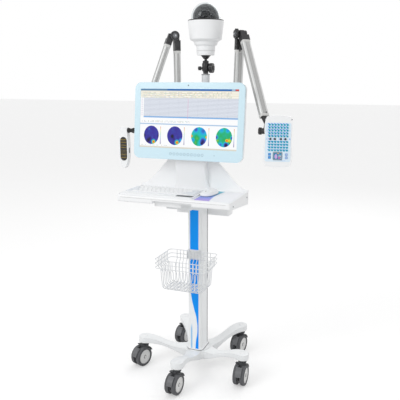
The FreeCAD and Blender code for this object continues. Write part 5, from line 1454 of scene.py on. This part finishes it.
# ---------------------------------------------------------------- instruments on the arms
@dataclass
class FlashLamp:
    """Hand-sized flash lamp: rows of small lamps behind a dark window, a side key and a back plate."""

    centre: tuple[float, float, float] = (-385.4, -20.0, 1113.0)
    face: float = -14.6
    pitch: float = 5.6
    bead: float = 2.5
    window: tuple[float, float] = (37.0, 118.0)
    window_drop: float = -4.0
    bright_rows: tuple[float, ...] = (12.8, 27.3, 40.9, 52.2, 87.5, 103.0)
    dim_rows: tuple[float, ...] = (20.0, 66.6, 73.6, 80.5, 95.2)

    def build(self) -> None:
        """Builds the pieces of the lamp."""
        place = frame_at(self.centre)
        for name, rows, finish in (("bright", self.bright_rows, LAMP_GOLD),
                                   ("dim", self.dim_rows, LAMP_DIM)):
            beads = joined(f"flash_lamp_{name}_beads", self.beads(rows))
            fitted(seated(beads, place), "stimulator", finish, 60)
        key = block("flash_lamp_side_key", (24.4, 0, -12), (1.6, 9, 26), 0.7, 3)
        fitted(seated(key, place), "stimulator", SOFT_GREY)
        seam = block("flash_lamp_back_plate", (0, 14.2, -4), (30, 1.2, 120), 0.5, 2)
        fitted(seated(seam, place), "stimulator", WHITE_SHELL)

    def beads(self, rows: Sequence[float]) -> list[bpy.types.Object]:
        """Makes the beads of the rows at these drops below the window's top."""
        beads = []
        for drop in rows:
            height = self.window_drop + self.window[1] / 2 - drop
            for column in range(-3, 3):
                across = (column + 0.5) * self.pitch
                if self.inside(across, height):
                    beads.append(disc("bead", (across, self.face - 0.5, height), self.bead, 1.0, Axis.Y,
                                      0.45, 14))
        return beads

    def inside(self, across: float, height: float) -> bool:
        """Tells whether a bead lies inside the capsule-shaped window."""
        radius = self.window[0] / 2 - 3.2
        straight = self.window[1] / 2 - self.window[0] / 2
        over = max(0.0, abs(height - self.window_drop) - straight)
        return across ** 2 + over ** 2 <= radius ** 2


@dataclass(frozen=True)
class SmallDisplayFinish:
    """Small lit display: soft fields of teal, lilac and pink with pale figures."""

    name: str

    def make(self) -> bpy.types.Material:
        """Builds the material on the display's own UV."""
        graph = Graph(self.name)
        across, rise, _ = graph.parts(graph.surface)
        field = graph.mix(graph.spread(graph.noise(5, 1, graph.surface), 0.3, 0.7), tint("#176f9f"),
                          tint("#2190b4"))

        def box(left: float, right: float, low: float, high: float) -> bpy.types.NodeSocket:
            """Gives one inside a rectangle of the display."""
            wide = graph.math("MULTIPLY", graph.math("GREATER_THAN", across, left),
                              graph.math("LESS_THAN", across, right))
            tall = graph.math("MULTIPLY", graph.math("GREATER_THAN", rise, low),
                              graph.math("LESS_THAN", rise, high))
            return graph.math("MULTIPLY", wide, tall)

        wide = graph.math("POWER", graph.math("DIVIDE", graph.math("SUBTRACT", across, 0.3), 0.18), 2.0)
        tall = graph.math("POWER", graph.math("DIVIDE", graph.math("SUBTRACT", rise, 0.44), 0.36), 2.0)
        oval = graph.math("LESS_THAN", graph.math("ADD", wide, tall), 1.0)
        field = graph.mix(oval, field, tint("#c6a6e2"))
        for left, right, low, high, code in ((0.6, 0.96, 0.5, 0.58, "#e6eef2"),
                                             (0.6, 0.96, 0.36, 0.44, "#e2a08a"),
                                             (0.58, 0.78, 0.1, 0.32, "#cf4fb4"),
                                             (0.45, 0.7, 0.84, 0.94, "#e8a25a"),
                                             (0.62, 0.94, 0.66, 0.74, "#7fc4dc"),
                                             (0.82, 0.96, 0.16, 0.24, "#d8e4f0")):
            field = graph.mix(box(left, right, low, high), field, tint(code))
        graph.set(Base_Color=UNLIT, Emission_Color=field, Emission_Strength=0.9, Roughness=0.25)
        return graph.material


@dataclass
class ElectrodeBox:
    """Electrode box: socket holes, ground collars, printed marks and icons, keys, a small display and
    screws behind.
    """

    centre: tuple[float, float, float] = (417.0, -124.0, 1187.4)
    turn: float = 11.0
    face: float = -17.0
    columns: int = 7
    rows: int = 10
    pitch: tuple[float, float] = (12.6, 12.1)
    top: float = 72.0
    shift: float = 1.5
    ground_row: int = 5
    ground_spots: tuple[float, ...] = (-31.9, -13.0, 12.7, 31.5)
    display: tuple[float, float] = (41.0, 36.0)
    display_drop: float = -61.8

    def build(self) -> None:
        """Builds the pieces of the box."""
        place = frame_at(self.centre, (Axis.Z, self.turn))
        holes = []
        marks = []
        grounds = []
        for row in range(self.rows):
            height = self.top - row * self.pitch[1]
            if row == self.ground_row:
                spots = self.ground_spots
            else:
                spots = tuple(self.shift + (column - (self.columns - 1) / 2) * self.pitch[0]
                              for column in range(self.columns))
            for spot in spots:
                # Darker teal disc in each socket's hole: painted shade.
                holes.append(disc("hole", (spot, self.face - 2.2, height), 1.4, 1.2, Axis.Y, 0, 14))
                rise = 4.4 if row < self.ground_row else 2.2
                rise = 0.0 if row == self.ground_row else rise
                reach = 7.0 if row == self.ground_row else 4.4
                marks.append(block("mark", (spot - reach, self.face - 0.2, height + rise), (5.4, 0.5, 3.4),
                                   0.2, 1))
                if row == self.ground_row:
                    grounds.append(disc("ground", (spot, self.face - 1.6, height), 4.6, 3.4, Axis.Y, 0.8,
                                        24))
        fitted(seated(joined("headbox_socket_holes", holes), place), "headbox", SOCKET_HOLE_SHADE_TEAL,
               60)
        fitted(seated(joined("headbox_marks", marks), place), "headbox", ICON_BLUE)
        fitted(seated(joined("headbox_ground_collars", grounds), place), "headbox",
               BLACK_PLASTIC, 60)
        for side, name, finish in ((-1, "left", KEY_BLUE), (1, "right", KEY_PALE_BLUE)):
            keys = []
            for height in (-54.6, -68.3):
                key = block("key", (side * 36 + self.shift, self.face - 0.9, height), (11, 1.9, 11), 1.0, 3)
                keys.append(dished(key, (0, -1, 0), 1.4, 0.3))
            fitted(seated(joined(f"headbox_{name}_keys", keys), place), "headbox", finish)
        ground = self.top - self.ground_row * self.pitch[1]
        icons = [disc("icon", (49.0, self.face - 0.2, ground), 3.4, 0.6, Axis.Y, 0.1, 24),
                 ring("icon", (-48.0, self.face - 0.1, ground), 3.0, 0.5, Axis.Y),
                 ring("icon", (48.5, self.face - 0.1, ground + 36), 2.4, 0.5, Axis.Y),
                 ring("icon", (-47.5, self.face - 0.1, ground + 36), 2.4, 0.5, Axis.Y),
                 block("icon", (24, self.face - 0.1, -81.5), (20, 0.4, 1.4))]
        fitted(seated(joined("headbox_icons", icons), place), "headbox", KEY_PALE_BLUE, 60)
        clear()
        bpy.ops.mesh.primitive_plane_add(size=1.0, rotation=(math.pi / 2, 0, 0),
                                         location=(0, (self.face - 1.5) * MM, self.display_drop * MM))
        picture = bpy.context.object
        picture.name = "headbox_display_picture"
        picture.scale = ((self.display[0] - 7) * MM, (self.display[1] - 8) * MM, 1)
        bpy.ops.object.transform_apply(location=True, rotation=True, scale=True)
        fitted(seated(picture, place), "headbox",
               FINISHES.get(SmallDisplayFinish("display_picture")))
        screws = [cap_screw("screw", (x, 16.0, z), 3.0, Axis.Y, 1) for x in (-56, 56) for z in (-92, 92)]
        fitted(seated(joined("headbox_back_screws", screws), place), "headbox", PLAIN_STEEL)


# ---------------------------------------------------------------- back of the trolley
@dataclass
class RearSide:
    """Fixings and covers behind: spine bolts, clamp screws, vents and the mains inlet's pins."""

    spine_back: float = 78.0
    spine_heights: Sequence[float] = (912, 1102, 1267)
    clamp_back: float = 136.0
    clamp_heights: Sequence[float] = (1170, 1206)
    housing_back: float = 150.0
    vent_height: float = 832.0
    inlet_height: float = 829.0

    def build(self) -> None:
        """Builds the pieces of the rear side."""
        bolts = [cap_screw("bolt", (x, self.spine_back, z), 4.4, Axis.Y, 1)
                 for x in (-22, 22) for z in self.spine_heights]
        bolts += [cap_screw("bolt", (x, self.clamp_back, z), 3.8, Axis.Y, 1)
                  for x in (-30, 30) for z in self.clamp_heights]
        fitted(joined("spine_bolts", bolts), "frame", PLAIN_STEEL)
        cover = block("spine_cable_cover", (0, self.spine_back + 3.5, 1012), (44, 7, 150), 2.4, 3)
        dished(cover, (0, 1, 0), 5, -1.0)
        fitted(cover, "frame", WHITE_SHELL)
        # Dark sheets in the vent slots' openings: painted shade.
        slots = [block("slot", (side * (52 + step * 8), self.housing_back + 0.1, self.vent_height),
                       (3, 0.8, 36), 0.3, 2)
                 for side in (-1, 1) for step in range(6)]
        fitted(joined("power_vents", slots), "frame", SOFT_GREY)
        pins = [block("pin", (x, self.housing_back - 3.5, self.inlet_height), (2, 7, 6), 0.4, 2)
                for x in (-7, 0, 7)]
        fitted(joined("inlet_pins", pins), "frame", PLAIN_STEEL)
        lamp = block("power_switch", (38, self.housing_back + 1.2, self.inlet_height), (13, 4, 20), 1.2, 3)
        dished(lamp, (0, 1, 0), 1.6, -0.6)
        fitted(lamp, "frame", BLACK_PLASTIC)


# ---------------------------------------------------------------- studio
@dataclass
class Studio:
    """Pale floor, soft lamps and the camera."""

    eye: Point = (0.9735, -2.4981, 1.4547)
    tilt: float = 77.72
    heading: float = 21.11
    lens: float = 50.56

    def build(self) -> None:
        """Adds the camera, the lamps, the sky and the floor."""
        bpy.ops.object.camera_add(location=self.eye)
        camera = bpy.context.object
        camera.rotation_euler = (math.radians(self.tilt), 0.0, math.radians(self.heading))
        camera.data.lens = self.lens
        camera.data.sensor_width = 36.0
        bpy.context.scene.camera = camera
        bpy.context.scene.view_settings.view_transform = "Standard"
        self.lamp("key_lamp", (-2.2, -3.5, 3.4), 2.4, 68)
        self.lamp("fill_lamp", (3.0, -2.6, 2.0), 2.6, 12)
        self.lamp("back_lamp", (0.5, 3.2, 3.2), 2.4, 24)
        self.sky()
        self.floor()

    @staticmethod
    def lamp(name: str, spot: Point, size: float, power: float) -> None:
        """Adds a square area lamp that looks at the trolley's middle."""
        bpy.ops.object.light_add(type="AREA", location=spot)
        lamp = bpy.context.object
        lamp.name = name
        lamp.data.size = size
        lamp.data.energy = power
        lamp.rotation_euler = (Vector((0, 0, 0.9)) - Vector(spot)).to_track_quat("-Z", "Y").to_euler()

    @staticmethod
    def seen_directly(nodes: bpy.types.Nodes, links: bpy.types.NodeLinks) -> bpy.types.NodeSocket:
        """Gives one where a camera, glossy or transmitted ray meets the surface."""
        path = nodes.new("ShaderNodeLightPath")
        total = path.outputs["Is Camera Ray"]
        for name in ("Is Glossy Ray", "Is Transmission Ray"):
            node = nodes.new("ShaderNodeMath")
            node.operation = "MAXIMUM"
            links.new(total, node.inputs[0])
            links.new(path.outputs[name], node.inputs[1])
            total = node.outputs[0]
        return total

    def sky(self) -> None:
        """Makes an even pale sky that is seen as white."""
        world = bpy.data.worlds.new("pale_sky")
        bpy.context.scene.world = world
        world.use_nodes = True
        nodes, links = world.node_tree.nodes, world.node_tree.links
        strength = nodes.new("ShaderNodeMapRange")
        links.new(self.seen_directly(nodes, links), strength.inputs[0])
        strength.inputs["To Min"].default_value = 0.74
        strength.inputs["To Max"].default_value = 1.0
        background = nodes["Background"]
        background.inputs["Color"].default_value = (1.0, 1.0, 1.0, 1.0)
        links.new(strength.outputs[0], background.inputs["Strength"])

    def floor(self) -> None:
        """Adds the floor, which glows where it is seen so that only its shadows show."""
        bpy.ops.mesh.primitive_plane_add(size=60, location=(0, 0, -0.0005))
        floor = bpy.context.object
        floor.name = "floor"
        graph = Graph("pale_floor")
        glow = graph.nodes.new("ShaderNodeEmission")
        glow.inputs["Color"].default_value = (1.0, 1.0, 1.0, 1.0)
        seen = self.seen_directly(graph.nodes, graph.links)
        graph.put(glow, "Strength", graph.math("MULTIPLY", seen, 0.33))
        graph.set(Base_Color=(0.72, 0.72, 0.72, 1.0), Roughness=0.9)
        total = graph.nodes.new("ShaderNodeAddShader")
        graph.put(total, 0, graph.shader.outputs[0])
        graph.put(total, 1, glow.outputs[0])
        output = graph.nodes["Material Output"]
        graph.put(output, "Surface", total.outputs[0])
        floor.data.materials.append(graph.material)


# ---------------------------------------------------------------- finishes on the CAD nodes
def dress_nodes() -> None:
    """Gives every CAD node its finish."""
    shells = ("worktop_shell", "rear_power_housing", "keyboard", "mouse", "backsplash", "neck_cover",
              "monitor_rear_housing", "camera_housing", "stimulator_shell", "headbox_shell")
    for node in shells:
        dress(node, WHITE_SHELL)
    for node in ("column_tube", "worktop_bracket", "rear_crossbar"):
        dress(node, WHITE_PAINT)
    dress("base_star", STAR_SHELL)
    dress("wire_basket", WHITE_WIRE)
    dress("castor_stems", PLAIN_STEEL)
    dress("monitor_tilt_bracket", PLAIN_STEEL)
    dress("monitor_bezel", BEZEL)
    dress("mast_tube", SATIN_MAST)
    dress("camera_dome", DOME)
    for number in range(1, 6):
        dress(f"castor_{number}_housing", CASTOR_DARK)
        dress(f"castor_{number}_wheels", CASTOR_TYRE)
        dress(f"castor_{number}_brake", PEDAL_GREY)
    for side in ("left", "right"):
        dress(f"{side}_upright_knuckles", BLACK_FITTING)
        dress(f"{side}_forearm_knuckles", BLACK_FITTING)
        dress(f"{side}_elbow_knob", BLACK_PLASTIC)
        dress(f"{side}_wrist_mount", BLACK_PLASTIC)
    for node in ("ball_head_body", "ball_stem", "ball_lock_knob", "camera_ring", "camera_yoke",
                 "camera_eye"):
        dress(node, BLACK_PLASTIC)


def dress_instruments() -> None:
    """Gives the instruments' nodes and the printed faces their finishes."""
    dress("lcd_panel", DEAD_SCREEN)
    dress("stimulator_window", LAMP_WINDOW)
    dress("headbox_panel", PANEL_BLUE)
    dress("headbox_jacks", JACK_CYAN)
    dress("headbox_display", DISPLAY_FRAME)
    dress("column_decor_panel", ColumnPrint("column_print"))
    dress("mouse_pad", PadPrint("pad_print"))


def main() -> None:
    """Dresses the trolley piece by piece and adds the studio."""
    logging.basicConfig(level=logging.INFO, format="%(name)s: %(message)s")
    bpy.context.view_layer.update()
    Studio().build()
    dress_nodes()
    dress_instruments()
    LOG.info("finishes are on the CAD nodes")
    for number in range(1, 6):
        Castor(number).build()
    for assembly in (Pedestal(), Worktop(), Keyboard(), Mouse(), Monitor(), DomeCamera(), Arm(Side.LEFT),
                     Arm(Side.RIGHT), FlashLamp(), ElectrodeBox(), RearSide()):
        assembly.build()


if __name__ == "__main__":
    main()
